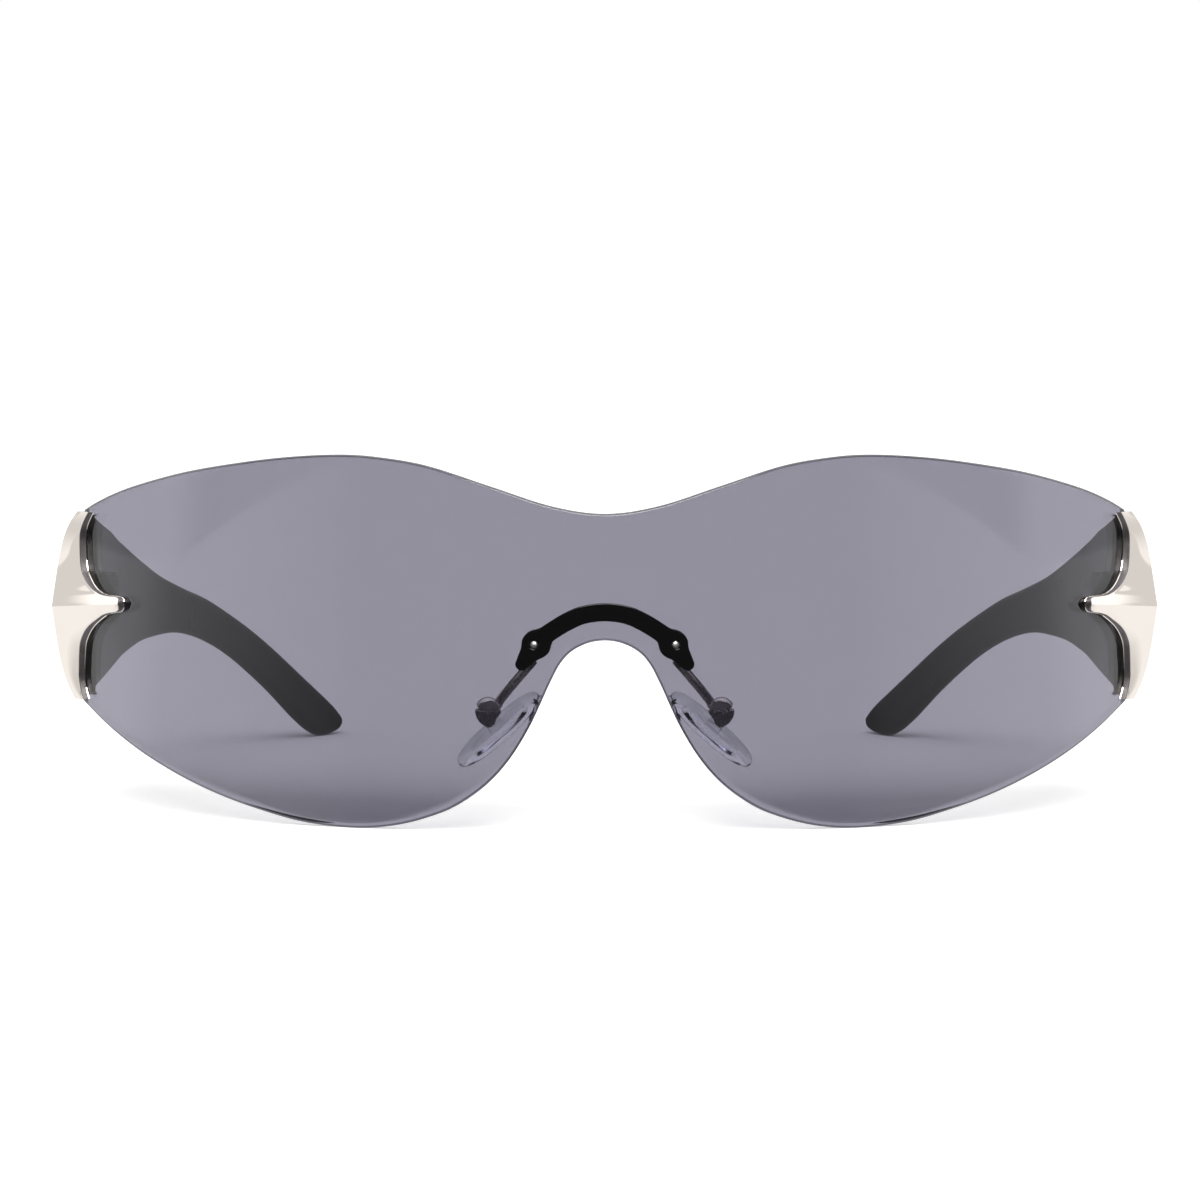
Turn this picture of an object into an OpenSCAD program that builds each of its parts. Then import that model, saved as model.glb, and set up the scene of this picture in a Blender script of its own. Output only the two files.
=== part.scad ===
// Wrap-around shield sunglasses with one lens, faceted end pieces and folding temples.
// X runs across the face, Y from the front of the lens to the temple tips, Z up from the table.
// The left side of the wearer is at +X. Every side piece is drawn there and mirrored for -X.

/* [Lens] */
// Width across the apexes of the two end pieces
overall_w = 150; // [132:1:166]
// Height of the lens, from its lowest to its highest edge
lens_h = 48.4; // [42:0.2:56]
// How far the lens ends lie behind the middle of its front face
lens_wrap = 38.7; // [32:0.1:45]
// Thickness of the lens
lens_t = 2; // [1.6:0.1:2.5]
// Radius of the front face from top to bottom
lens_arc_r = 260; // [180:5:400]
// Height of the nose notch above the table
nose_h = 24.8; // [20:0.2:28]
// Height of the top edge where it dips in the middle
dip_h = 41; // [37:0.2:45]
// Distance of the highest and lowest points of the edge from the middle
crest_x = 34.3; // [29:0.1:40]
// Height of the top edge at the lens end
end_top_h = 39.9; // [37:0.1:43]
// Height of the bottom edge at the lens end
end_low_h = 14.5; // [12:0.1:17]

/* [End pieces] */
// Height of the horizontal ridge above the table
ridge_h = 27.9; // [26:0.1:30]
// Reach of an end piece above its ridge
end_rise = 12; // [10:0.1:14]
// Reach of an end piece below its ridge
end_drop = 13.2; // [11:0.1:15]
// Reach of the front point along the lens
end_front = 11.6; // [9:0.1:14]
// Reach of the rear point behind the apex
end_rear = 16.4; // [13:0.1:20]
// Height of the rim above the lens
rim_t = 1.2; // [1:0.05:1.6]
// Height of the apex above the side of the temple
apex_t = 3; // [2.5:0.1:3.8]
// How far the spine falls in from the apex to its upper and lower ends
spine_fall = 4; // [3.2:0.1:4.4]
// How far the spine leans forward from the apex to its upper and lower ends
spine_lean = 3.8; // [3:0.1:4.4]
// Thickness of the plate behind the lens
back_t = 1.2; // [1:0.05:1.5]
// Step of the back plate inside the outline of the end piece
back_inset = 0.5; // [0.3:0.05:0.8]

/* [Hinges] */
// Outer diameter of the hinge knuckles
knuckle_d = 3.2; // [2.8:0.1:3.8]
// Height of the hinge over all three knuckles
hinge_h = 6.4; // [5.4:0.1:7.6]
// Diameter of the hinge screw
hinge_screw_d = 1.4; // [1.2:0.05:1.6]
// Thickness of the hinge leaf on the temple
leaf_t = 1; // [0.8:0.05:1.2]
// Length of the hinge leaf behind the hinge axis
leaf_l = 13.4; // [11.5:0.1:16]
// Diameter of the rivets that hold the leaf
rivet_d = 1.2; // [1:0.05:1.4]

/* [Temples] */
// Length of a temple behind its front end
temple_len = 125; // [104:1:148]
// Thickness of a temple
temple_t = 3.4; // [2.9:0.1:4]
// Height of the upper front corner above the table
temple_top_h = 40.2; // [36:0.2:44]
// Height of the lower front corner above the table
temple_low_h = 14.6; // [12:0.2:17]
// Length of the straight stretch behind the hinge
temple_straight = 14.5; // [13:0.5:20]
// Radius of the inward bow behind the straight stretch
bow_r = 234; // [200:2:280]

/* [Bridge] */
// Distance of each bridge screw from the middle
screw_x = 9; // [8:0.1:10.5]
// Height of the bridge screws above the table
screw_h = 24.3; // [22:0.1:27]
// Height of the arch over the bridge screws, to the middle of its band
arch_rise = 4.2; // [3.6:0.1:5]
// Width of the arch band
band_w = 2.1; // [1.8:0.1:2.5]
// Thickness of the bridge plate
bridge_t = 1.2; // [1:0.05:1.5]
// Radius of the round lobe about each bridge screw
lobe_r = 1.84; // [1.6:0.02:2.2]
// Radius of the tail end below each lobe
tail_r = 0.83; // [0.7:0.01:1]
// How far the tail end lies outside the bridge screw
tail_x = 1.5; // [1.2:0.1:1.8]
// How far the tail end lies below the bridge screw
tail_drop = 2.5; // [2.1:0.1:3]
// Diameter of the bridge screws
bridge_screw_d = 1; // [0.9:0.05:1.2]

/* [Nose pads] */
// Length of a nose pad
pad_l = 14.4; // [12:0.2:17]
// Width of a nose pad
pad_w = 7.5; // [6.4:0.1:8.8]
// Thickness of a nose pad
pad_t = 2; // [1.7:0.1:2.4]
// Distance of the pad pivot from the middle
pivot_x = 15.2; // [14.4:0.1:17]
// Distance of the pad pivot behind the lens front
pivot_y = 9.8; // [9:0.1:11.5]
// Height of the pad pivot above the table
pivot_h = 14.4; // [13:0.1:16]
// Slope of the pads, seen from the front
pad_slope = 41.7; // [36:0.1:48]
// Splay of the pads, wider behind than in front
pad_splay = 12; // [8:0.5:15]
// Diameter of the pad arms
arm_d = 1; // [0.8:0.05:1.2]
// Radius of the cheeks of the pad boxes
cheek_r = 1.75; // [1.5:0.05:2]

/* [Fits] */
// Radial clearance of the screws in their plain holes
hole_fit = 0.05; // [0.03:0.01:0.08]
// Radial clearance of the screws in their threads
thread_fit = 0.02; // [0.01:0.01:0.03]
// Gap between the lens and what is seated on it
seat_gap = 0.05; // [0.03:0.01:0.08]
// Gap between the temple side and the end piece over it
side_gap = 0.4; // [0.3:0.05:0.6]
// Gap between the temple front and the end post
front_gap = 0.4; // [0.3:0.05:0.6]
// Gap between the moving knuckle and its neighbours
knuckle_gap = 0.1; // [0.06:0.01:0.15]

/* [Hidden] */
$fn = 48;

// Facets of the large lens and bow circles
large_fn = 720;
// Points that a curve takes in each stretch between two chosen points
curve_steps = 2;
arch_steps = 3;
// How far a cutting shape runs past what it cuts
overrun = 1;

// Plan of one side, from the apex inwards
apex_x = overall_w / 2;
rear_in_x = apex_x - apex_t;
temple_out_x = rear_in_x - side_gap;
temple_in_x = temple_out_x - temple_t;
hinge_x = temple_in_x - knuckle_d / 2;
// How far the front face of the lens ends inside the rear inner face of the end piece
lens_end_in = 1.25;
lens_end_x = rear_in_x - lens_end_in;
lens_r = (lens_end_x * lens_end_x + lens_wrap * lens_wrap) / (2 * lens_wrap);
end_angle = asin(lens_end_x / lens_r);
mid_h = lens_h / 2;

// Places behind the lens end
apex_behind = 2.3;
apex_y = lens_wrap + apex_behind;
// Distance of the hinge axis behind the lens end
hinge_behind = 3.9;
hinge_y = lens_wrap + hinge_behind;
// Distance of the temple front behind the hinge axis
temple_behind = 1;
temple_y = hinge_y + temple_behind;
post_y = temple_y - front_gap;

// The whole part is centred on the middle of its box, front to back
front_reach = seat_gap + bridge_t;
middle_y = (temple_y + temple_len - front_reach) / 2;

// Edge of the lens from the middle to its crest and on to its end, as shares of those stretches
crown_shares = [[0, 0], [0.2, 0.13], [0.43, 0.47], [0.66, 0.81], [0.84, 0.955], [1, 1]];
brow_shares = [[0, 1], [0.2, 0.95], [0.4, 0.835], [0.6, 0.67], [0.8, 0.42], [0.92, 0.2], [1, 0]];
cheek_shares = [[0, 0], [0.15, 0.035], [0.3, 0.12], [0.45, 0.23], [0.6, 0.375], [0.75, 0.56],
    [0.88, 0.765], [1, 1]];
nose_shares = [[0, 1], [0.06, 0.988], [0.12, 0.948], [0.165, 0.884], [0.206, 0.778], [0.28, 0.556],
    [0.36, 0.375], [0.45, 0.238], [0.56, 0.13], [0.66, 0.07], [0.77, 0.026], [0.885, 0.003], [1, 0]];

// Outline of an end piece: share of its rise, share of its front reach, share of its rear reach
brace_shares = [[0, 1, 1], [0.05, 0.94, 0.957], [0.09, 0.76, 0.83], [0.12, 0.57, 0.69],
    [0.16, 0.42, 0.575], [0.25, 0.25, 0.45], [0.45, 0.11, 0.305], [0.7, 0.05, 0.155],
    [0.85, 0.05, 0.06], [0.95, 0.1, 0.02], [1, 0.2, 0.02]];
// How sharply the spine falls and leans towards its ends
fall_power = 1.5;
lean_power = 2.7;
// Distance of the middle line of the end piece from the lens end, along the lens
root_in = 0.55;
// Columns of the end piece between its edge and its spine
front_columns = 4;
rear_columns = 3;
// Columns of its inner face behind the lens end
step_columns = 2;
// Share of a short row that lies along the lens
knee_share = 0.8;

// Side view of a temple: share of its length, share of its front corner height
temple_top_shares = [[0, 1], [0.07, 0.987], [0.18, 0.94], [0.26, 0.886], [0.37, 0.798],
    [0.46, 0.726], [0.55, 0.667], [0.64, 0.607], [0.74, 0.51], [0.82, 0.41], [0.9, 0.283],
    [0.965, 0.167], [0.99, 0.105]];
temple_tip_shares = [[1, 0.055], [0.992, 0.02], [0.97, 0.002], [0.95, 0]];
temple_low_shares = [[0.93, 0.01], [0.9, 0.042], [0.83, 0.165], [0.76, 0.28], [0.7, 0.357],
    [0.64, 0.424], [0.58, 0.47], [0.52, 0.492], [0.45, 0.4975], [0.37, 0.492], [0.3, 0.475],
    [0.18, 0.435]];

// Centre line of the arch: share of the screw distance, share of the rise
arch_shares = [[0, 1], [0.3, 0.917], [0.5, 0.74], [0.7, 0.49], [1, 0.05]];

// Screws and their heads
bridge_head_d = 2.2;
bridge_head_h = 0.7;
// Depth of the round recess about each screw tip in the bridge plate
tip_recess = 0.45;
tip_recess_d = 1.45;
// How far the screw tip lies below the front of the plate
tip_below = 0.12;
// Nylon bushings between the lens and the pad arm lugs
bushing_wall = 0.4;
bushing_flange_d = 3.2;
bushing_flange_t = 0.3;
lug_t = 0.8;
lug_gap = 0.03;

// End piece boss, peg and screw, by their distance from the lens end along the lens
boss_in = 4;
boss_d = 2.2;
boss_bury = 0.3;
peg_in = 8.4;
peg_d = 1.2;
peg_h = 1.6;
end_screw_d = 1.2;
end_screw_l = 2.4;
end_head_d = 2.2;
end_head_h = 0.6;
// Share of the end piece height that its post fills behind the lens
post_share = 0.55;
// Gap between the post and the rear inner face of the end piece
post_clear = 0.2;
// Distance of the post's outer corner behind the apex
post_corner = 0.5;
// The low wings of the post, inside the rear inner face and the ends of the end piece
wing_in = 1.2;
wing_short = 0.6;
// Side of the post that faces the hinge, outside the temple's inner face
post_in = 0.2;

// Hinge
hinge_head_d = 2.4;
hinge_head_h = 0.6;
// Share of the hinge height that the moving knuckle takes
knuckle_share = 0.34;
// Gap between the wide part of the leaf and the fixed knuckles
leaf_gap = 0.3;
rivet_head_d = 2;
rivet_head_h = 0.4;
rivet_depth = 2.2;
// Places of the two rivets along the leaf
rivet_shares = [0.4, 0.8];

// Pad units, about their pivots
pad_below = 2.5;
pad_screw_d = 1;
pad_head_d = 1.8;
pad_head_h = 0.5;
cheek_t = 0.6;
cheek_gap = 2;
cheek_flat = 0.9;
box_web_t = 0.6;
stem_w = 1.8;
stem_l = 1.9;
core_t = 0.6;
// Size of the core plate inside the pad
core_share = 0.62;
core_gap = 0.02;
// Route of a pad arm: share of the way from its tail to the pad box in X, Y and Z
arm_shares = [[0, 0, 0], [0.02, 0.16, 0.06], [0.14, 0.38, 0.3], [0.4, 0.64, 0.62],
    [0.72, 0.86, 0.88], [1, 1, 1]];
// Where the arm meets the web of its box, along the pad
arm_end_along = 0.7;
// How far the ball at a bend stands out of the rod
bend_swell = 0.01;
rod_fn = 96;

// Curves

function curve_at(a, b, c, d, t) =
    ((2 * b) + (c - a) * t + (2 * a - 5 * b + 4 * c - d) * t * t
    + (3 * b - a - 3 * c + d) * t * t * t) / 2;

function ends(points) = let (last = len(points) - 1) concat(
    [2 * points[0] - points[1]], points, [2 * points[last] - points[last - 1]]);

// A smooth curve through the given points, with the last point left out
function curve(points, steps = curve_steps) = let (p = ends(points)) [
    for (i = [1 : len(p) - 3]) for (k = [0 : steps - 1])
        curve_at(p[i - 1], p[i], p[i + 1], p[i + 2], k / steps)];

function last_of(points) = points[len(points) - 1];

function backwards(points) = [for (i = [len(points) - 1 : -1 : 0]) points[i]];

function mirrored(points) = [for (p = backwards(points)) [-p[0], p[1]]];

// The front face of the lens

function face_r(z) = lens_r - lens_arc_r + sqrt(lens_arc_r * lens_arc_r - (z - mid_h) * (z - mid_h));

function on_face(angle, z, out) =
    let (r = face_r(z) + out) [r * sin(angle), lens_r - r * cos(angle)];

function arc_angle(length) = length / lens_r * 180 / PI;

// The space between two surfaces parallel to the front face of the lens
module shell(outer, inner, half_angle) {
    translate([0, lens_r, 0])
        rotate([0, 0, -90 - half_angle])
            rotate_extrude(angle = 2 * half_angle, $fn = large_fn)
                intersection() {
                    translate([lens_r - lens_arc_r, mid_h])
                        difference() {
                            circle(r = lens_arc_r + outer, $fn = large_fn);
                            circle(r = lens_arc_r + inner, $fn = large_fn);
                        }
                    translate([lens_r / 2, -lens_h])
                        square([lens_r, lens_h * 3]);
                }
}

// A front view outline pushed through from before the lens to behind its ends
module through(depth) {
    translate([0, depth, 0])
        rotate([90, 0, 0])
            linear_extrude(height = depth * 2)
                children();
}

// Places what it holds on the front face, with its Z axis pointing out of the lens
module on_lens(angle, z, out = 0) {
    p = on_face(angle, z, out);
    translate([p[0], p[1], z])
        rotate([90, 0, angle])
            children();
}

// Two circles joined by their tangents
module link(a, ra, b, rb) {
    d = norm(b - a);
    lean = acos((ra - rb) / d);
    turn = atan2(b[1] - a[1], b[0] - a[0]);
    translate(a) circle(r = ra);
    translate(b) circle(r = rb);
    polygon([
        a + ra * [cos(turn + lean), sin(turn + lean)],
        a + ra * [cos(turn - lean), sin(turn - lean)],
        b + rb * [cos(turn - lean), sin(turn - lean)],
        b + rb * [cos(turn + lean), sin(turn + lean)],
    ]);
}

// Draws a side piece where it belongs, with the middle of the part's box at Y = 0
module placed(side = 1) {
    translate([0, -middle_y, 0])
        mirror([side < 0 ? 1 : 0, 0, 0])
            children();
}

module both_sides() {
    children();
    mirror([1, 0, 0]) children();
}

// Lens

function stretch(shares, x0, x1, z0, z1) =
    [for (s = shares) [x0 + (x1 - x0) * s[0], z0 + (z1 - z0) * s[1]]];

lens_top = concat(
    curve(stretch(crown_shares, 0, crest_x, dip_h, lens_h)),
    curve(stretch(brow_shares, crest_x, lens_end_x, end_top_h, lens_h)),
    [[lens_end_x, end_top_h]]);
lens_low = concat(
    curve(stretch(nose_shares, 0, crest_x, 0, nose_h)),
    curve(stretch(cheek_shares, crest_x, lens_end_x, 0, end_low_h)),
    [[lens_end_x, end_low_h]]);
lens_half = concat(lens_low, [[lens_end_x + overrun, end_low_h], [lens_end_x + overrun, end_top_h]],
    backwards(lens_top));

module lens_outline() {
    inner = [for (i = [1 : len(lens_half) - 2]) lens_half[i]];
    polygon(concat(lens_half, mirrored(inner)));
}

screw_angle = asin(screw_x / lens_r);
boss_angle = end_angle - arc_angle(boss_in);
peg_angle = end_angle - arc_angle(peg_in);
bushing_d = bridge_screw_d + 2 * hole_fit + 2 * bushing_wall;

module lens() {
    color([0.3, 0.3, 0.34, 0.6])
        placed()
            difference() {
                intersection() {
                    shell(0, -lens_t, end_angle);
                    through(lens_wrap * 2) lens_outline();
                }
                both_sides() {
                    lens_hole(screw_angle, screw_h, bushing_d / 2 + hole_fit);
                    lens_hole(boss_angle, ridge_h, boss_d / 2 + hole_fit);
                    lens_hole(peg_angle, ridge_h, peg_d / 2 + hole_fit);
                }
            }
}

module lens_hole(angle, z, r) {
    on_lens(angle, z, -lens_t - overrun)
        cylinder(r = r, h = lens_t + 2 * overrun);
}

// Bridge

arch_points = [for (s = arch_shares) [screw_x * s[0], screw_h + arch_rise * s[1]]];
arch_line = concat(curve(concat(mirrored(arch_points), [for (i = [1 : len(arch_points) - 1])
    arch_points[i]]), arch_steps), [last_of(arch_points)]);

function square_to(points, i) =
    let (a = points[max(i - 1, 0)], b = points[min(i + 1, len(points) - 1)], d = (b - a) / norm(b - a))
        [-d[1], d[0]];

module band(points, w) {
    one = [for (i = [0 : len(points) - 1]) points[i] + square_to(points, i) * w / 2];
    other = [for (i = [0 : len(points) - 1]) points[i] - square_to(points, i) * w / 2];
    polygon(concat(one, backwards(other)));
}

module lobe_and_tail() {
    link([screw_x, screw_h], lobe_r, [screw_x + tail_x, screw_h - tail_drop], tail_r);
}

module bridge_plate() {
    color([0.03, 0.03, 0.03])
        placed()
            difference() {
                intersection() {
                    shell(seat_gap + bridge_t, seat_gap, end_angle / 2);
                    union() {
                        through(lens_wrap / 2) band(arch_line, band_w);
                        both_sides() through(lens_wrap / 2) lobe_and_tail();
                    }
                }
                both_sides() on_lens(screw_angle, screw_h, seat_gap) {
                    translate([0, 0, -overrun])
                        cylinder(d = bridge_screw_d + 2 * thread_fit, h = bridge_t + 2 * overrun);
                    translate([0, 0, bridge_t - tip_recess])
                        cylinder(d = tip_recess_d, h = tip_recess + overrun);
                }
            }
}

// Depths behind the front face of the lens, at a bridge screw
flange_back = lens_t + seat_gap + bushing_flange_t;
lug_front = flange_back + lug_gap;
lug_back = lug_front + lug_t;
bridge_head_front = lug_back + lug_gap;

module bridge_screws() {
    color([0.8, 0.79, 0.78])
        placed()
            both_sides() on_lens(screw_angle, screw_h, -bridge_head_front) {
                cylinder(d = bridge_screw_d, h = bridge_head_front + seat_gap + bridge_t - tip_below);
                translate([0, 0, -bridge_head_h])
                    cylinder(d = bridge_head_d, h = bridge_head_h);
            }
}

module bridge_bushings() {
    color([0.85, 0.85, 0.85, 0.6])
        placed()
            both_sides() on_lens(screw_angle, screw_h, -flange_back)
                difference() {
                    union() {
                        cylinder(d = bushing_flange_d, h = bushing_flange_t);
                        cylinder(d = bushing_d, h = flange_back - seat_gap);
                    }
                    translate([0, 0, -overrun])
                        cylinder(d = bridge_screw_d + 2 * hole_fit, h = flange_back + 2 * overrun);
                }
}

// End pieces

centre_angle = end_angle - arc_angle(root_in);
rows = concat(
    [for (i = [len(brace_shares) - 1 : -1 : 1]) concat([-1], brace_shares[i])],
    [for (s = brace_shares) concat([1], s)]);

function row_z(row) = ridge_h + (row[0] > 0 ? end_rise : -end_drop) * row[1];

function front_angle(row) = centre_angle - arc_angle(end_front * row[2]);

function spine(row) = [
    apex_x - spine_fall * pow(row[1], fall_power),
    apex_y - spine_lean * pow(row[1], lean_power)];

function rear_edge(row) = let (s = spine(row))
    [min(s[0], rear_in_x + rim_t + seat_gap), s[1] + end_rear * row[3]];

// The inner face of an end piece in plan: along the lens, round its end, then straight back
function seat_x(y, z) = let (r = face_r(z) + seat_gap, end_x = on_face(end_angle, z, seat_gap)[0])
    y <= lens_wrap ? sqrt(r * r - (lens_r - y) * (lens_r - y))
    : y >= apex_y ? rear_in_x
    : end_x + (rear_in_x - end_x) * (y - lens_wrap) / (apex_y - lens_wrap);

function between(a, b, count) = [for (k = [0 : count - 1]) a + (b - a) * k / count];

function end_ring(row) =
    let (z = row_z(row), angle = front_angle(row), back = rear_edge(row),
        near = on_face(angle, z, seat_gap),
        knee = min(lens_wrap, near[1] + (back[1] - near[1]) * knee_share),
        step = min(apex_y, (knee + back[1]) / 2),
        inner = concat(between(back[1], step, step_columns), [step],
            between(knee, near[1], front_columns), [near[1]]),
        outer = concat(between(on_face(angle, z, rim_t), spine(row), front_columns),
            between(spine(row), back, rear_columns), [back]))
    concat([for (p = outer) [p[0], p[1], z]], [for (y = inner) [seat_x(y, z), y, z]]);

module end_body() {
    rings = [for (row = rows) end_ring(row)];
    n = len(rings[0]);
    points = [for (ring = rings) for (p = ring) p];
    sides = [for (j = [0 : len(rings) - 2]) for (i = [0 : n - 1]) let (k = (i + 1) % n)
        for (f = [[j * n + i, (j + 1) * n + i, (j + 1) * n + k], [j * n + i, (j + 1) * n + k, j * n + k]]) f];
    low = [for (i = [0 : n - 1]) i];
    high = [for (i = [n - 1 : -1 : 0]) (len(rings) - 1) * n + i];
    polyhedron(points, concat(sides, [low, high]));
}

module end_piece(side) {
    color([0.86, 0.85, 0.83])
        placed(side)
            difference() {
                union() {
                    end_body();
                    on_lens(boss_angle, ridge_h, -lens_t)
                        cylinder(d = boss_d, h = lens_t + seat_gap + boss_bury);
                    on_lens(peg_angle, ridge_h, -peg_h)
                        cylinder(d = peg_d, h = peg_h + seat_gap + boss_bury);
                }
                on_lens(boss_angle, ridge_h, -lens_t - overrun)
                    cylinder(d = end_screw_d + 2 * thread_fit, h = end_screw_l + overrun - back_t + hole_fit);
            }
}

// Back plates with their posts and fixed knuckles

back_r = lens_t + seat_gap;
back_rows = [for (row = rows) [
    (lens_r - back_r) * sin(min(front_angle(row) + arc_angle(back_inset), end_angle)),
    ridge_h + (row_z(row) - ridge_h) * (1 - back_inset / end_rise)]];

module back_plate(side) {
    color([0.08, 0.08, 0.09])
        placed(side)
            difference() {
                union() {
                    intersection() {
                        shell(-back_r, -back_r - back_t, end_angle + arc_angle(back_inset));
                        through(lens_wrap * 2)
                            polygon(concat(back_rows, [[overall_w, last_of(back_rows)[1]],
                                [overall_w, back_rows[0][1]]]));
                    }
                    post();
                    fixed_knuckles();
                }
                on_lens(boss_angle, ridge_h, -back_r - back_t - overrun)
                    cylinder(d = end_screw_d + 2 * hole_fit, h = back_t + 2 * overrun);
                translate([hinge_x, hinge_y, ridge_h - hinge_h / 2 - overrun])
                    cylinder(d = hinge_screw_d + 2 * hole_fit, h = hinge_h + 2 * overrun);
            }
}

// The post stands behind the lens end, between the end piece and the hinge
module post() {
    near = on_face(end_angle, mid_h, -back_r - back_t);
    far = on_face(end_angle, ridge_h + end_rise * post_share, 0);
    wing_far = on_face(end_angle, ridge_h + end_rise, 0);
    shift = seat_gap * [cos(end_angle), sin(end_angle)];
    post_x = temple_in_x + post_in;
    translate([0, 0, ridge_h - end_drop * post_share])
        linear_extrude(height = (end_rise + end_drop) * post_share)
            polygon([near + shift, far + shift, [rear_in_x - post_clear, apex_y + post_corner],
                [rear_in_x - post_clear, post_y], [post_x, post_y], [post_x, near[1] + overrun]]);
    translate([0, 0, ridge_h - end_drop + wing_short])
        linear_extrude(height = end_rise + end_drop - 2 * wing_short)
            polygon([near + shift, wing_far + shift, [rear_in_x - wing_in, post_y],
                [post_x, post_y], [post_x, near[1] + overrun]]);
}

moving_h = hinge_h * knuckle_share;
fixed_h = (hinge_h - moving_h) / 2 - knuckle_gap;

module fixed_knuckles() {
    arm_front = on_face(end_angle, mid_h, -back_r - back_t / 2)[1];
    for (z = [ridge_h - hinge_h / 2, ridge_h + hinge_h / 2 - fixed_h])
        translate([hinge_x, 0, z]) {
            translate([0, hinge_y, 0])
                cylinder(d = knuckle_d, h = fixed_h);
            translate([0, arm_front, 0])
                cube([temple_in_x + post_in * 2 - hinge_x, hinge_y - arm_front, fixed_h]);
        }
}

module end_screw(side) {
    color([0.7, 0.7, 0.7])
        placed(side)
            on_lens(boss_angle, ridge_h, -back_r - back_t - seat_gap) {
                cylinder(d = end_screw_d, h = end_screw_l);
                translate([0, 0, -end_head_h])
                    cylinder(d = end_head_d, h = end_head_h);
            }
}

// Hinges

module hinge_screw(side) {
    color([0.2, 0.2, 0.2])
        placed(side)
            translate([hinge_x, hinge_y, ridge_h - hinge_h / 2]) {
                cylinder(d = hinge_screw_d, h = hinge_h);
                translate([0, 0, hinge_h])
                    cylinder(d = hinge_head_d, h = hinge_head_h);
            }
}

wide_leaf_y = hinge_y + knuckle_d / 2 + leaf_gap;
rivet_ys = [for (s = rivet_shares) wide_leaf_y + (hinge_y + leaf_l - wide_leaf_y) * s];

module hinge_leaf(side) {
    leaf_x = temple_in_x - leaf_t;
    color([0.12, 0.12, 0.12])
        placed(side)
            difference() {
                union() {
                    translate([hinge_x, hinge_y, ridge_h - moving_h / 2])
                        cylinder(d = knuckle_d, h = moving_h);
                    translate([leaf_x, hinge_y, ridge_h - moving_h / 2])
                        cube([leaf_t, leaf_l, moving_h]);
                    translate([leaf_x, wide_leaf_y, ridge_h - hinge_h / 2])
                        cube([leaf_t, hinge_y + leaf_l - wide_leaf_y, hinge_h]);
                }
                translate([hinge_x, hinge_y, ridge_h - hinge_h])
                    cylinder(d = hinge_screw_d + 2 * hole_fit, h = hinge_h * 2);
                for (y = rivet_ys)
                    translate([leaf_x - overrun, y, ridge_h])
                        rotate([0, 90, 0])
                            cylinder(d = rivet_d + 2 * hole_fit, h = leaf_t + 2 * overrun);
            }
}

module leaf_rivets(side) {
    color([0.3, 0.3, 0.3])
        placed(side)
            for (y = rivet_ys)
                translate([temple_in_x - leaf_t, y, ridge_h])
                    rotate([0, 90, 0]) {
                        cylinder(d = rivet_d, h = leaf_t + rivet_depth);
                        translate([0, 0, -rivet_head_h])
                            cylinder(d = rivet_head_d, h = rivet_head_h);
                    }
}

// Temples

temple_side = concat(
    curve([for (s = temple_top_shares) [s[0] * temple_len, s[1] * temple_top_h]]),
    curve([for (s = temple_tip_shares) [s[0] * temple_len, s[1] * temple_top_h]]),
    curve(concat([for (s = temple_low_shares) [s[0] * temple_len, s[1] * temple_top_h]],
        [[0, temple_low_h]])),
    [[0, temple_low_h]]);

// Plan of a temple: straight behind the hinge, then bowed inwards
module temple_plan() {
    translate([temple_in_x, 0])
        square([temple_t, temple_straight]);
    intersection() {
        translate([temple_in_x - bow_r, temple_straight])
            difference() {
                circle(r = bow_r + temple_t, $fn = large_fn);
                circle(r = bow_r, $fn = large_fn);
            }
        translate([0, temple_straight])
            square([apex_x, temple_len]);
    }
}

module temple(side) {
    color([0.05, 0.05, 0.055])
        placed(side)
            translate([0, temple_y, 0])
                difference() {
                    intersection() {
                        translate([0, 0, -overrun])
                            linear_extrude(height = temple_top_h + 2 * overrun)
                                temple_plan();
                        rotate([90, 0, 90])
                            linear_extrude(height = apex_x)
                                polygon(temple_side);
                    }
                    for (y = rivet_ys)
                        translate([temple_in_x - overrun, y - temple_y, ridge_h])
                            rotate([0, 90, 0])
                                cylinder(d = rivet_d + 2 * thread_fit, h = rivet_depth + hole_fit + overrun);
                }
}

// Nose pads

// Places what it holds about a pad pivot: X along the pad, Y along its screw, Z away from the nose
module at_pivot() {
    translate([pivot_x, pivot_y, pivot_h])
        rotate([0, pad_slope, 0])
            rotate([pad_splay, 0, 0])
                children();
}

function turn_y(p, a) = [p[0] * cos(a) + p[2] * sin(a), p[1], p[2] * cos(a) - p[0] * sin(a)];

function turn_x(p, a) = [p[0], p[1] * cos(a) - p[2] * sin(a), p[1] * sin(a) + p[2] * cos(a)];

function from_pivot(p) = [pivot_x, pivot_y, pivot_h] + turn_y(turn_x(p, pad_splay), pad_slope);

lug_mid = -(lug_front + lug_back) / 2;
tail_angle = asin((screw_x + tail_x) / lens_r);
tail_z = screw_h - tail_drop;
tail_point = on_face(tail_angle, tail_z, lug_mid);
arm_start = [tail_point[0], tail_point[1], tail_z];
arm_end = from_pivot([-arm_end_along, 0, cheek_r + arm_d / 2 - seat_gap]);
arm_route = [for (s = arm_shares) [for (k = [0 : 2])
    arm_start[k] + (arm_end[k] - arm_start[k]) * s[k]]];

// A round rod along a route, with a slightly larger ball at each bend
module rod(points, d) {
    for (i = [0 : len(points) - 2]) {
        v = points[i + 1] - points[i];
        translate(points[i])
            rotate([0, acos(v[2] / norm(v)), atan2(v[1], v[0])])
                cylinder(d = d, h = norm(v), $fn = rod_fn);
        translate(points[i])
            sphere(d = d + 2 * bend_swell, $fn = rod_fn);
    }
}

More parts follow.
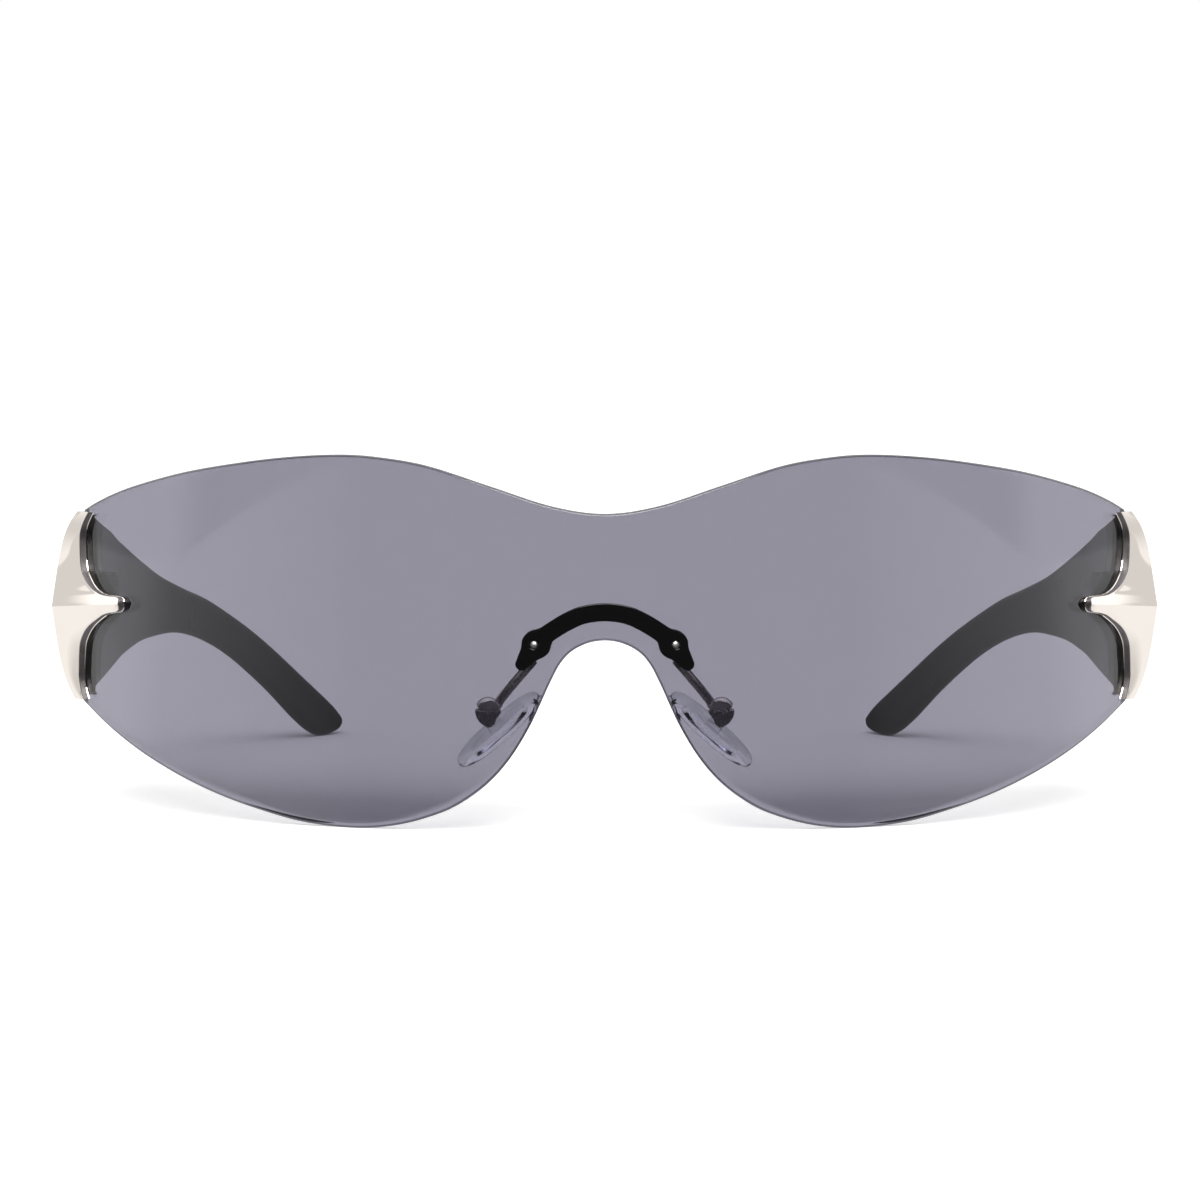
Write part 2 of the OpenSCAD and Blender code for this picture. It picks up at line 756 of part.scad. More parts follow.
module pad_arm(side) {
    color([0.45, 0.44, 0.43])
        placed(side)
            difference() {
                union() {
                    intersection() {
                        shell(-lug_front, -lug_back, end_angle / 2);
                        through(lens_wrap / 2) lobe_and_tail();
                    }
                    rod(arm_route, arm_d);
                }
                on_lens(screw_angle, screw_h, -lug_back - overrun)
                    cylinder(d = bridge_screw_d + 2 * hole_fit, h = lug_t + 2 * overrun);
            }
}

box_w = cheek_gap + 2 * cheek_t;

module cheek_shape() {
    intersection() {
        circle(r = cheek_r);
        translate([-cheek_r, -cheek_flat])
            square([2 * cheek_r, 2 * cheek_r]);
    }
}

module pad_box(side) {
    color([0.6, 0.59, 0.58])
        placed(side)
            at_pivot()
                difference() {
                    translate([0, box_w / 2, 0])
                        rotate([90, 0, 0])
                            linear_extrude(height = box_w)
                                cheek_shape();
                    translate([-cheek_r, -cheek_gap / 2, -cheek_r])
                        cube([2 * cheek_r, cheek_gap, 2 * cheek_r - box_web_t]);
                    pad_bore(thread_fit);
                }
}

module pad_bore(fit) {
    translate([0, box_w, 0])
        rotate([90, 0, 0])
            cylinder(d = pad_screw_d + 2 * fit, h = 2 * box_w);
}

module pad_screw(side) {
    color([0.75, 0.74, 0.73])
        placed(side)
            at_pivot()
                rotate([90, 0, 0]) {
                    translate([0, 0, -box_w / 2])
                        cylinder(d = pad_screw_d, h = box_w);
                    translate([0, 0, box_w / 2])
                        cylinder(d = pad_head_d, h = pad_head_h);
                }
}

module oval(l, w) {
    link([(w - l) / 2, 0], w / 2, [(l - w) / 2, 0], w / 2);
}

module core_body(gap) {
    translate([0, 0, -pad_below - core_t / 2 - gap])
        linear_extrude(height = core_t + 2 * gap)
            oval(pad_l * core_share + 2 * gap, pad_w * core_share + 2 * gap);
    translate([-stem_l / 2 - gap, -stem_w / 2 - gap, -pad_below])
        cube([stem_l + 2 * gap, stem_w + 2 * gap, pad_below]);
}

module pad_core(side) {
    color([0.8, 0.8, 0.82])
        placed(side)
            at_pivot()
                difference() {
                    union() {
                        core_body(0);
                        translate([0, stem_w / 2, 0])
                            rotate([90, 0, 0])
                                cylinder(d = stem_l, h = stem_w);
                    }
                    pad_bore(hole_fit);
                }
}

module nose_pad(side) {
    color([0.85, 0.87, 0.88, 0.5])
        placed(side)
            at_pivot()
                difference() {
                    translate([0, 0, -pad_below - pad_t / 2])
                        linear_extrude(height = pad_t)
                            oval(pad_l, pad_w);
                    core_body(core_gap);
                }
}

lens();
bridge_plate();
bridge_screws();
bridge_bushings();
end_piece(1);  // left_end_piece
end_piece(-1);  // right_end_piece
back_plate(1);  // left_back_plate
back_plate(-1);  // right_back_plate
end_screw(1);  // left_end_screw
end_screw(-1);  // right_end_screw
hinge_screw(1);  // left_hinge_screw
hinge_screw(-1);  // right_hinge_screw
hinge_leaf(1);  // left_hinge_leaf
hinge_leaf(-1);  // right_hinge_leaf
leaf_rivets(1);  // left_leaf_rivets
leaf_rivets(-1);  // right_leaf_rivets
temple(1);  // left_temple
temple(-1);  // right_temple
pad_arm(1);  // left_pad_arm
pad_arm(-1);  // right_pad_arm
pad_box(1);  // left_pad_box
pad_box(-1);  // right_pad_box
pad_screw(1);  // left_pad_screw
pad_screw(-1);  // right_pad_screw
pad_core(1);  // left_pad_core
pad_core(-1);  // right_pad_core
nose_pad(1);  // left_nose_pad
nose_pad(-1);  // right_nose_pad
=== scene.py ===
"""Shield sunglasses: the looks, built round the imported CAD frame.

Points are worked out in millimetres from the middle of the lens front, at table height.
add_mesh turns them into metres in the frame's own axes. Side pieces are drawn for +X and
mirrored for -X.
"""
import math

import bmesh
import bpy
import numpy as np
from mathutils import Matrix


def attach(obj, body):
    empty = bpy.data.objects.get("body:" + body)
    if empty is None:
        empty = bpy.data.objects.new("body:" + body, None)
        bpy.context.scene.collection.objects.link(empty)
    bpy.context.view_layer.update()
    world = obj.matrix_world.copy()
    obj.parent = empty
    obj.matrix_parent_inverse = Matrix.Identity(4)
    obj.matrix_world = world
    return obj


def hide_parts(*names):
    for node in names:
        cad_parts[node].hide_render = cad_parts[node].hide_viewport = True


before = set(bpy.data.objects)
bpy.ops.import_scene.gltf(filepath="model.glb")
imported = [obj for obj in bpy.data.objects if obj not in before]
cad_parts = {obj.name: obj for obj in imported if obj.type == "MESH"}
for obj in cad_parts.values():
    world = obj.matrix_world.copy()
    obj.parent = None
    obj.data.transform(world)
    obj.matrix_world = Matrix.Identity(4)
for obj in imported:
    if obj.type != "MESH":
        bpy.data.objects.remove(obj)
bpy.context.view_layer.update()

# Sizes in millimetres. The frame's origin lies MIDDLE_Y behind the lens front.
MIDDLE_Y = 83.675
LENS_WRAP, LENS_T, LENS_END_X = 38.7, 2.0, 70.75
LENS_ARC_R, LENS_H = 260.0, 48.4
NOSE_H, DIP_H, CREST_X = 24.8, 41.0, 34.3
END_TOP_H, END_LOW_H = 39.9, 14.5
# End pieces: their outer corner, the inside of the rear arm, the ridge and the points' reach
APEX_X, APEX_Y, REAR_IN_X = 75.0, 41.0, 72.0
RIDGE_H, END_RISE, END_DROP, END_FRONT, END_REAR = 27.9, 12.0, 13.2, 11.6, 16.4
RIM_T, SEAT = 1.2, 0.05
TEMPLE_Y, TEMPLE_LEN, TEMPLE_T, TEMPLE_IN_X = 43.6, 125.0, 3.4, 68.2
TEMPLE_TOP_H, TEMPLE_STRAIGHT, BOW_R = 40.2, 14.5, 234.0
# Bridge plate, and the lug of the pad arm behind the lens with a bushing between them
SCREW_X, SCREW_H, ARCH_RISE, BAND_W, BRIDGE_T = 9.0, 24.3, 4.2, 2.1, 1.2
LOBE_R, TAIL_R, TAIL_X, TAIL_DROP = 1.84, 0.83, 1.5, 2.5
BUSH_T, CLEAR, LUG_T = 0.3, 0.03, 0.8
LUG_FRONT = LENS_T + SEAT + BUSH_T + CLEAR
# Nose pads, about the point where they rock
PIVOT = np.array([15.2, 9.8, 14.4])
PAD_SLOPE, PAD_SPLAY = math.radians(41.7), math.radians(12.0)
PAD_L, PAD_W, PAD_T, PAD_BELOW = 14.4, 7.5, 2.0, 2.5

MID_H = LENS_H / 2
LENS_R = (LENS_END_X ** 2 + LENS_WRAP ** 2) / (2 * LENS_WRAP)
END_ANGLE = math.asin(LENS_END_X / LENS_R)
SIDES = (("left", 1), ("right", -1))


# ------ curves and surfaces

def clamp(value):
    """The value held between 0 and 1."""
    return min(max(value, 0.0), 1.0)


def ease(share):
    """A smooth step from 0 to 1 as the share goes from 0 to 1."""
    share = clamp(share)
    return share * share * (3 - 2 * share)


def smooth_curve(points, steps=8, start=None, stop=None):
    """Catmull-Rom curve through the points; start and stop are the points before and after them."""
    p = np.asarray(points, float)
    first = 2 * p[0] - p[1] if start is None else np.asarray(start, float)
    last = 2 * p[-1] - p[-2] if stop is None else np.asarray(stop, float)
    p = np.vstack([first, p, last])
    out = []
    for i in range(1, len(p) - 2):
        a, b, c, d = p[i - 1], p[i], p[i + 1], p[i + 2]
        for k in range(steps):
            t = k / steps
            out.append(((2 * b) + (c - a) * t + (2 * a - 5 * b + 4 * c - d) * t ** 2
                        + (3 * b - a - 3 * c + d) * t ** 3) / 2)
    out.append(p[-2])
    return np.array(out)


def even(points, count):
    """count points along a polyline, evenly spaced by length."""
    p = np.asarray(points, float)
    s = np.concatenate([[0], np.cumsum(np.linalg.norm(np.diff(p, axis=0), axis=1))])
    t = np.linspace(0, s[-1], count)
    return np.stack([np.interp(t, s, p[:, k]) for k in range(p.shape[1])], axis=1)


def face_r(z, out=0.0):
    """Distance of the lens front from its upright axis at height z, out further from it."""
    return LENS_R - LENS_ARC_R + math.sqrt((LENS_ARC_R + out) ** 2 - (z - MID_H) ** 2)


def on_lens(angle, z, out=0.0):
    r = face_r(z, out)
    return np.array([r * math.sin(angle), LENS_R - r * math.cos(angle), z])


def over_lens(x, z, out=0.0):
    """The point of the lens front seen at x, z from the front, out along its own normal."""
    return on_lens(math.asin(x / face_r(z)), z, out)


def normals_2d(points, closed=False):
    """Unit normals to the right of the way a 2-D line runs."""
    p = np.asarray(points, float)
    if closed:
        d = np.roll(p, -1, axis=0) - np.roll(p, 1, axis=0)
    else:
        d = np.gradient(p, axis=0)
    d = d / np.linalg.norm(d, axis=1)[:, None]
    return np.stack([d[:, 1], -d[:, 0]], axis=1)


# ------ meshes

class Build:
    """Vertices and faces of one mesh, in millimetres. second numbers faces of another look."""

    def __init__(self):
        self.verts, self.faces, self.second = [], [], []

    def ring(self, points):
        start = len(self.verts)
        self.verts.extend(np.asarray(points, float).tolist())
        return list(range(start, len(self.verts)))

    def strip(self, a, b, closed=True):
        n = len(a)
        for i in range(n if closed else n - 1):
            k = (i + 1) % n
            self.faces.append([a[i], a[k], b[k], b[i]])

    def fan(self, ring, centre):
        start = len(self.verts)
        self.verts.append(list(centre))
        for i in range(len(ring)):
            self.faces.append([ring[i], ring[(i + 1) % len(ring)], start])

    def loft(self, rings):
        """A closed skin over the rings, with a fan over the first and the last."""
        ids = [self.ring(r) for r in rings]
        for a, b in zip(ids, ids[1:]):
            self.strip(a, b)
        for k in (0, -1):
            self.fan(ids[k], np.mean(rings[k], axis=0))


def shade(mesh, sharp=32.0):
    """Smooth shading, with sharp edges where faces meet at more than so many degrees."""
    mesh.polygons.foreach_set("use_smooth", [True] * len(mesh.polygons))
    mesh.set_sharp_from_angle(angle=math.radians(sharp))


def add_mesh(name, build, side=1, sharp=32.0):
    """Makes an object of a Build. Its faces numbered in second take the second material slot."""
    v = np.asarray(build.verts, float) / 1000
    v = (v - np.array([0, MIDDLE_Y / 1000, 0])) * np.array([side, 1, 1])
    mesh = bpy.data.meshes.new(name)
    mesh.from_pydata(v.tolist(), [], build.faces)
    for k in build.second:
        mesh.polygons[k].material_index = 1
    bm = bmesh.new()
    bm.from_mesh(mesh)
    bmesh.ops.remove_doubles(bm, verts=bm.verts, dist=1e-7)
    bmesh.ops.recalc_face_normals(bm, faces=bm.faces)
    bm.to_mesh(mesh)
    bm.free()
    shade(mesh, sharp)
    obj = bpy.data.objects.new(name, mesh)
    bpy.context.scene.collection.objects.link(obj)
    return obj


def basis(axis, up=(0, 0, 1)):
    """Two directions across an axis, and the axis itself, all of length 1."""
    w = np.asarray(axis, float)
    w = w / np.linalg.norm(w)
    u = np.cross(up, w)
    if np.linalg.norm(u) < 1e-6:
        u = np.cross((1, 0, 0), w)
    u = u / np.linalg.norm(u)
    return u, np.cross(w, u), w


def circle(centre, u, v, radius, segments):
    """Points round centre, from u towards v."""
    return [centre + radius * (u * math.cos(a) + v * math.sin(a))
            for a in np.linspace(0, 2 * math.pi, segments, endpoint=False)]


def lathe(build, origin, axis, profile, segments=48):
    """Turns profile, a list of (radius, height along axis), about a line through origin."""
    u, v, w = basis(axis)
    build.loft([circle(origin + w * h, u, v, r, segments) for r, h in profile])


def tube(build, points, radius, segments):
    """A round tube along points, with closed ends."""
    p = np.asarray(points, float)
    d = np.gradient(p, axis=0)
    d = d / np.linalg.norm(d, axis=1)[:, None]
    u = basis(d[0])[0]
    rings = []
    for centre, way in zip(p, d):
        u = u - way * np.dot(u, way)
        u = u / np.linalg.norm(u)
        rings.append(circle(centre, u, np.cross(way, u), radius, segments))
    build.loft(rings)


def plate(build, inside, box, cell, bevel, thick, place, steps=3):
    """A plate whose outline is where inside(x, z), a distance that is positive within it, is zero.

    Its front lies at depth 0 and its back at depth thick, with rounded edges of radius bevel.
    place(x, z, depth) gives the point in space.
    """
    x0, x1, z0, z1 = box
    nx, nz = int(round((x1 - x0) / cell)) + 1, int(round((z1 - z0) / cell)) + 1
    xs, zs = np.linspace(x0, x1, nx), np.linspace(z0, z1, nz)
    field = inside(*np.meshgrid(xs, zs, indexing="ij")) - bevel
    field[np.abs(field) < cell * 1e-3] = cell * 1e-3
    keys, flat, polys, edges = {}, [], [], {}

    def vertex(key, x, z):
        if key not in keys:
            keys[key] = len(flat)
            flat.append((x, z))
        return keys[key]

    for i in range(nx - 1):
        for j in range(nz - 1):
            loop = [(i, j), (i + 1, j), (i + 1, j + 1), (i, j + 1)]
            poly = []
            for a, b in zip(loop, loop[1:] + loop[:1]):
                if field[a] > 0:
                    poly.append(vertex(a, xs[a[0]], zs[a[1]]))
                if (field[a] > 0) != (field[b] > 0):
                    t = field[a] / (field[a] - field[b])
                    poly.append(vertex(frozenset((a, b)), xs[a[0]] + (xs[b[0]] - xs[a[0]]) * t,
                                       zs[a[1]] + (zs[b[1]] - zs[a[1]]) * t))
            if poly:
                polys.append(poly)
                edges.update(dict.fromkeys(zip(poly, poly[1:] + poly[:1])))
    border = {a: b for a, b in edges if (b, a) not in edges}
    flat = np.array(flat)
    (x, z), step = flat.T, cell / 4
    outward = np.stack([inside(x - step, z) - inside(x + step, z),
                        inside(x, z - step) - inside(x, z + step)], axis=1)
    outward = outward / np.maximum(np.linalg.norm(outward, axis=1), 1e-9)[:, None]
    front = build.ring([place(x, z, 0.0) for x, z in flat])
    back = build.ring([place(x, z, thick) for x, z in flat])
    for poly in polys:
        build.faces.append([front[k] for k in poly])
        build.faces.append([back[k] for k in reversed(poly)])
    angles = np.linspace(0, math.pi / 2, steps + 1)[1:]
    profile = [(bevel * math.sin(a), bevel * (1 - math.cos(a))) for a in angles]
    profile += [(o, thick - d) for o, d in reversed(profile)]
    todo = set(border)
    while todo:
        loop = [todo.pop()]
        while border[loop[-1]] in todo:
            loop.append(border[loop[-1]])
            todo.discard(loop[-1])
        last = [front[k] for k in loop]
        for off, depth in profile:
            ring = build.ring([place(*(flat[k] + outward[k] * off), depth) for k in loop])
            build.strip(last, ring)
            last = ring
        build.strip(last, [back[k] for k in loop])


def cut(target, tool, side=1):
    """Takes the volume of a Build out of target, with the result applied to the mesh."""
    cutter = add_mesh("tool", tool, side)
    mod = target.modifiers.new("cut", "BOOLEAN")
    mod.operation, mod.solver, mod.object = "DIFFERENCE", "EXACT", cutter
    bpy.context.view_layer.update()
    depsgraph = bpy.context.evaluated_depsgraph_get()
    mesh = bpy.data.meshes.new_from_object(target.evaluated_get(depsgraph))
    target.modifiers.clear()
    old, target.data = target.data, mesh
    bpy.data.meshes.remove(old)
    bpy.data.objects.remove(cutter)
    shade(mesh)


# ------ materials

class Tree:
    """Shorthand for building one node tree. Values are numbers, colours or other nodes' outputs."""

    def __init__(self, tree):
        self.nodes, self.links = tree.nodes, tree.links

    def put(self, socket, value):
        if isinstance(value, bpy.types.NodeSocket):
            self.links.new(value, socket)
        else:
            socket.default_value = value

    def node(self, kind, **sockets):
        """A new node with its inputs filled by name, where _ stands for a blank."""
        node = self.nodes.new("ShaderNode" + kind)
        for key, value in sockets.items():
            self.put(node.inputs[key.replace("_", " ")], value)
        return node

    def math(self, operation, *values, kind="Math"):
        node = self.node(kind)
        node.operation = operation
        for socket, value in zip(node.inputs, values):
            self.put(socket, value)
        return node.outputs[0]

    def span(self, value, low, high, to_low=0.0, to_high=1.0, ramp="SMOOTHSTEP"):
        """A step of value from low to high, smooth unless ramp says otherwise."""
        node = self.node("MapRange", Value=value, From_Min=low, From_Max=high, To_Min=to_low,
                         To_Max=to_high)
        node.interpolation_type = ramp
        return node.outputs["Result"]

    def mix(self, share, first, second):
        """first where share is 0 and second where it is 1, for numbers."""
        rest = self.math("SUBTRACT", 1.0, share)
        return self.math("ADD", self.math("MULTIPLY", rest, first),
                         self.math("MULTIPLY", share, second))

    def ramp(self, value, stops):
        node = self.node("ValToRGB", Fac=value)
        for k, (position, level) in enumerate(stops):
            elements = node.color_ramp.elements
            stop = elements[k] if k < 2 else elements.new(1.0)
            stop.position, stop.color = position, (level, level, level, 1)
        return node.outputs["Color"]

    def glow(self, strength, kind="Emission"):
        return self.node(kind, Color=(1, 1, 1, 1), Strength=strength).outputs[0]

    def blend(self, share, first, second):
        node = self.node("MixShader")
        for socket, value in zip(node.inputs, (share, first, second)):
            self.put(socket, value)
        return node.outputs[0]


M = {}


def new_material(name):
    mat = M[name] = bpy.data.materials.new(name)
    mat.use_nodes = True
    return mat.node_tree.nodes["Principled BSDF"], Tree(mat.node_tree)


def surface(name, color, roughness, metallic=0.0, spread=0.0, scale=900.0, bump=0.0,
            bump_scale=2500.0, cloud=0.0, **sockets):
    """A material whose roughness, tint and relief vary with noise in the piece's own space."""
    shader, tree = new_material(name)
    shader.inputs["Base Color"].default_value = (*color, 1)
    shader.inputs["Metallic"].default_value = metallic
    shader.inputs["Roughness"].default_value = roughness
    for key, value in sockets.items():
        shader.inputs[key.replace("_", " ")].default_value = value
    place = tree.node("TexCoord").outputs["Object"]

    def noise(size, **more):
        return tree.node("TexNoise", Vector=place, Scale=size, **more).outputs["Fac"]

    if spread:
        span = tree.span(noise(scale, Detail=4), 0.3, 0.7, max(roughness - spread, 0),
                         roughness + spread, "LINEAR")
        tree.put(shader.inputs["Roughness"], span)
    if cloud:
        tone = tree.node("Mix")
        tone.data_type = "RGBA"
        ends = [(*[min(c * (1 + sign * cloud), 1) for c in color], 1) for sign in (-1, 1)]
        for socket, value in (("Factor", noise(scale)), ("A", ends[0]), ("B", ends[1])):
            tree.put(tone.inputs[socket], value)
        tree.put(shader.inputs["Base Color"], tone.outputs["Result"])
    if bump:
        relief = tree.node("Bump", Strength=1.0, Distance=bump, Height=noise(bump_scale, Detail=3))
        tree.put(shader.inputs["Normal"], relief.outputs["Normal"])


POLYCARBONATE = 1.586
surface("smoke_lens", (0.312, 0.302, 0.368), 0.0, bump=1.0e-7, bump_scale=60,
        Transmission_Weight=1.0, IOR=POLYCARBONATE)
surface("lens_rim", (0.085, 0.08, 0.1), 0.06, spread=0.03, scale=400,
        Transmission_Weight=0.8, IOR=POLYCARBONATE)
surface("chrome", (0.93, 0.865, 0.80), 0.05, 1.0, spread=0.02, scale=350, bump=1.5e-7,
        bump_scale=400)
# A darker, duller copy of the chrome for the walls of the end pieces' rims: painted shade standing
# in for the dark reflections on them.
surface("shaded_chrome_side", (0.36, 0.33, 0.315), 0.4, 1.0, spread=0.06, scale=900)
surface("black_metal", (0.003, 0.003, 0.0033), 0.13, spread=0.03, scale=700,
        Specular_IOR_Level=0.45)
surface("black_steel", (0.03, 0.03, 0.032), 0.3, 0.6, spread=0.08, scale=1500)
surface("gunmetal", (0.42, 0.395, 0.375), 0.27, 1.0, spread=0.06, scale=1200)
# A brighter, glossier copy of the pad box's metal for the dome of its wall: a painted highlight for
# the light its top catches, added to the lamps' own highlights.
surface("highlit_nickel_wall", (0.72, 0.68, 0.64), 0.14, 1.0, spread=0.05, scale=1200)
surface("steel", (0.8, 0.785, 0.765), 0.42, 1.0, spread=0.06, scale=2500)
surface("black_plastic", (0.006, 0.006, 0.0065), 0.26, spread=0.015, scale=200,
        Specular_IOR_Level=0.2)
surface("clear_nylon", (0.93, 0.93, 0.94), 0.08, spread=0.03, scale=900,
        Transmission_Weight=1.0, IOR=1.52)
# The core stands in the silicone, so its index is the ratio of the two
surface("set_core", (0.88, 0.88, 0.9), 0.0, cloud=0.03, scale=300,
        Transmission_Weight=1.0, IOR=1.02)
surface("clear_silicone", (0.84, 0.845, 0.87), 0.0, cloud=0.02, scale=200,
        Transmission_Weight=1.0, IOR=1.1)


def finish_piece(obj, body, material, *nodes, second=None):
    for name in (material, second):
        if name:
            obj.data.materials.append(M[name])
    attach(obj, body)
    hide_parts(*nodes)


EDGE_ANGLE, WELD_GAP = 38, 2e-6


def dress_cad(node, material, bevel=0.0):
    """Keeps a CAD node, with its edges rounded by so many millimetres and a finished material."""
    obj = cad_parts[node]
    for slot in obj.material_slots:
        slot.material = M[material]
    if not obj.material_slots:
        obj.data.materials.append(M[material])
    if bevel:
        obj.modifiers.new("weld", "WELD").merge_threshold = WELD_GAP
        edge = obj.modifiers.new("edge", "BEVEL")
        edge.width, edge.segments, edge.limit_method = bevel / 1000, 3, "ANGLE"
        edge.angle_limit = math.radians(EDGE_ANGLE)
        edge.use_clamp_overlap, edge.harden_normals = True, False


# ------ lens

# Shares of the way across and up for each stretch of the lens outline
CROWN = [[0, 0], [0.2, 0.13], [0.43, 0.47], [0.66, 0.81], [0.84, 0.955], [1, 1]]
BROW = [[0, 1], [0.2, 0.95], [0.4, 0.835], [0.6, 0.67], [0.8, 0.42], [0.92, 0.2], [1, 0]]
CHEEK = [[0, 0], [0.15, 0.035], [0.3, 0.12], [0.45, 0.23], [0.6, 0.375], [0.75, 0.56],
         [0.88, 0.765], [1, 1]]
NOSE = [[0, 1], [0.06, 0.988], [0.12, 0.948], [0.165, 0.884], [0.206, 0.778], [0.28, 0.556],
        [0.36, 0.375], [0.45, 0.238], [0.56, 0.13], [0.66, 0.07], [0.77, 0.026],
        [0.885, 0.003], [1, 0]]
LENS_COLS, LENS_ROWS = 170, 44
# Radius of the lens's edges and the number of flats in it
LENS_EDGE, EDGE_FLATS = 0.28, 4


def stretch_shares(shares, x0, x1, z0, z1):
    return [(x0 + (x1 - x0) * s[0], z0 + (z1 - z0) * s[1]) for s in shares]


def lens_edges():
    """The lower and the upper edge of one half of the lens, from the middle to its end."""
    nose = stretch_shares(NOSE, 0, CREST_X, 0, NOSE_H)
    cheek = stretch_shares(CHEEK, CREST_X, LENS_END_X, 0, END_LOW_H)
    crown = stretch_shares(CROWN, 0, CREST_X, DIP_H, LENS_H)
    brow = stretch_shares(BROW, CREST_X, LENS_END_X, END_TOP_H, LENS_H)
    low = smooth_curve(nose + cheek[1:], 10, start=(-nose[1][0], nose[1][1]))
    top = smooth_curve(crown + brow[1:], 10, start=(-crown[1][0], crown[1][1]))
    return low, top


def make_lens():
    low, top = lens_edges()
    n, rows = LENS_COLS, LENS_ROWS
    # Columns follow the lower edge, closer together where it is steep
    cols = even(low, n)[:, 0] / LENS_END_X
    angles = np.arcsin(np.clip(cols, 0, 1) * math.sin(END_ANGLE))
    b = Build()

    def edge_z(line, angle, out):
        z = MID_H
        for _ in range(6):
            z = float(np.interp(face_r(z, out) * math.sin(angle), line[:, 0], line[:, 1]))
        return z

    def border(out):
        """The outline at one depth as (arc length, height), from the middle of its lower edge."""
        lows = [(a * LENS_R, edge_z(low, a, out)) for a in angles]
        tops = [(a * LENS_R, edge_z(top, a, out)) for a in angles]
        side = [(angles[-1] * LENS_R, lows[-1][1] + (tops[-1][1] - lows[-1][1]) * k / rows)
                for k in range(1, rows)]
        half = np.array(lows + side + tops[::-1])
        return np.vstack([half, half[1:-1][::-1] * np.array([-1, 1])])

    outward = normals_2d(border(0.0), closed=True)
    count = len(outward)

    def on_face(line, out):
        return b.ring([on_lens(s / LENS_R, z, out) for s, z in line])

    def face_grid(out):
        """One face of the lens: rows of points from its lower edge to its upper edge."""
        line = border(out) - outward * LENS_EDGE
        ids = on_face(line, out)
        # Both edges run from the -X end to the +X end
        low_at = list(range(1 - n, n))
        top_at = list(range(n + rows - 1, 3 * n + rows - 2))[::-1]
        grid = [[ids[k] for k in low_at]]
        for r in range(1, rows):
            inner = [line[k] + (line[m] - line[k]) * r / rows for k, m in zip(low_at, top_at)]
            grid.append([ids[count - n + 1 - r]] + on_face(inner[1:-1], out) + [ids[n - 1 + r]])
        grid.append([ids[k] for k in top_at])
        for lower, upper in zip(grid, grid[1:]):
            b.strip(lower, upper, closed=False)
        return ids

    last, back = face_grid(0.0), face_grid(-LENS_T)
    wall_start = len(b.faces)
    turns = [math.pi / 2 * k / EDGE_FLATS for k in range(1, EDGE_FLATS + 1)]
    profile = [(-LENS_EDGE * (1 - math.cos(a)), LENS_EDGE * (1 - math.sin(a))) for a in turns]
    profile += [(-LENS_T - out, inset) for out, inset in reversed(profile)]
    for out, inset in profile:
        ring = on_face(border(out) - outward * inset, out)
        b.strip(last, ring)
        last = ring
    b.strip(last, back)
    b.second = range(wall_start, len(b.faces))
    return b


def lens_frame(angle, z):
    """The point of the lens front at an angle, and the way out of it."""
    return on_lens(angle, z), np.array([math.sin(angle), -math.cos(angle), 0.0])


SCREW_ANGLE = math.asin(SCREW_X / LENS_R)
BOSS_ANGLE, PEG_ANGLE = END_ANGLE - 4.0 / LENS_R, END_ANGLE - 8.4 / LENS_R
# Angle, height and radius of the holes for a bridge screw, an end piece's boss and its peg
HOLES = ((SCREW_ANGLE, SCREW_H, 1.0), (BOSS_ANGLE, RIDGE_H, 1.15), (PEG_ANGLE, RIDGE_H, 0.65))
DRILL = 4

lens = add_mesh("lens_shield", make_lens())
for name in ("smoke_lens", "lens_rim"):
    lens.data.materials.append(M[name])
for label, side in SIDES:
    for angle, z, r in HOLES:
        tool = Build()
        at, out = lens_frame(angle, z)
        lathe(tool, at - out * DRILL, out, [(r, 0), (r, 2 * DRILL)], 40)
        cut(lens, tool, side)
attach(lens, "front")
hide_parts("lens")

# ------ end pieces

# Front outline of an end piece as (rise, reach) shares, from the tip of its front arm to an end
BRACE_UP = [[0, 0.915], [0.03, 0.912], [0.055, 0.9], [0.072, 0.87], [0.079, 0.81], [0.081, 0.69],
            [0.086, 0.59], [0.098, 0.495], [0.128, 0.393], [0.16, 0.323], [0.208, 0.251],
            [0.274, 0.179], [0.34, 0.126], [0.425, 0.09], [0.561, 0.061], [0.734, 0.042],
            [0.855, 0.075], [0.969, 0.167], [1, 0.2]]
BRACE_LOW = [[0, 0.915], [0.03, 0.911], [0.055, 0.895], [0.075, 0.86], [0.085, 0.8],
             [0.097, 0.69], [0.118, 0.579], [0.153, 0.481], [0.196, 0.38], [0.238, 0.294],
             [0.297, 0.203], [0.363, 0.132], [0.428, 0.084], [0.523, 0.06], [0.665, 0.039],
             [0.776, 0.034], [0.9, 0.067], [0.976, 0.109], [1, 0.125]]
# How far back the rear arm reaches at a share of the way from the ridge to either point
BRACE_REAR = [[0, 1], [0.05, 0.957], [0.09, 0.83], [0.12, 0.69], [0.16, 0.575], [0.25, 0.45],
              [0.45, 0.305], [0.7, 0.155], [0.85, 0.06], [0.95, 0.02], [1, 0.02]]
CENTRE_ANGLE = END_ANGLE - 0.55 / LENS_R
ARM_TIP, ARM_ROOT = 9.5, 5.2
ARM_FRONT, RIDGE_DROP = 0.915 * END_FRONT, 0.85
# The rim is lower along the front arm, with a crest at its tip, and thins towards the points
FINGER_DROP, DROP_FROM, DROP_OVER = 0.27, 1.8, 3.6
TIP_CREST, CREST_HALF, END_THIN = 0.2, 0.9, 0.22
# The outer corner on its way to the upper and the lower point: how far it draws in, the even
# part of that and the power of the rest, then how far it draws back and the power of that
SPINE_UP, SPINE_LOW = (3.8, 0.55, 5, 3.2, 2.7), (3.35, 0.52, 4, 2.6, 2)
FILLET, RIM_FOOT, THINNEST = 0.13, 0.07, 0.05
# The lower facet swells by so much, from this far below the ridge and over such a height
SWELL, SWELL_FROM, SWELL_OVER = 0.1, 1.0, 5.0
# Height on either side of the ridge over which the corner takes up the crest's drop
RIDGE_SPAN = 1.2
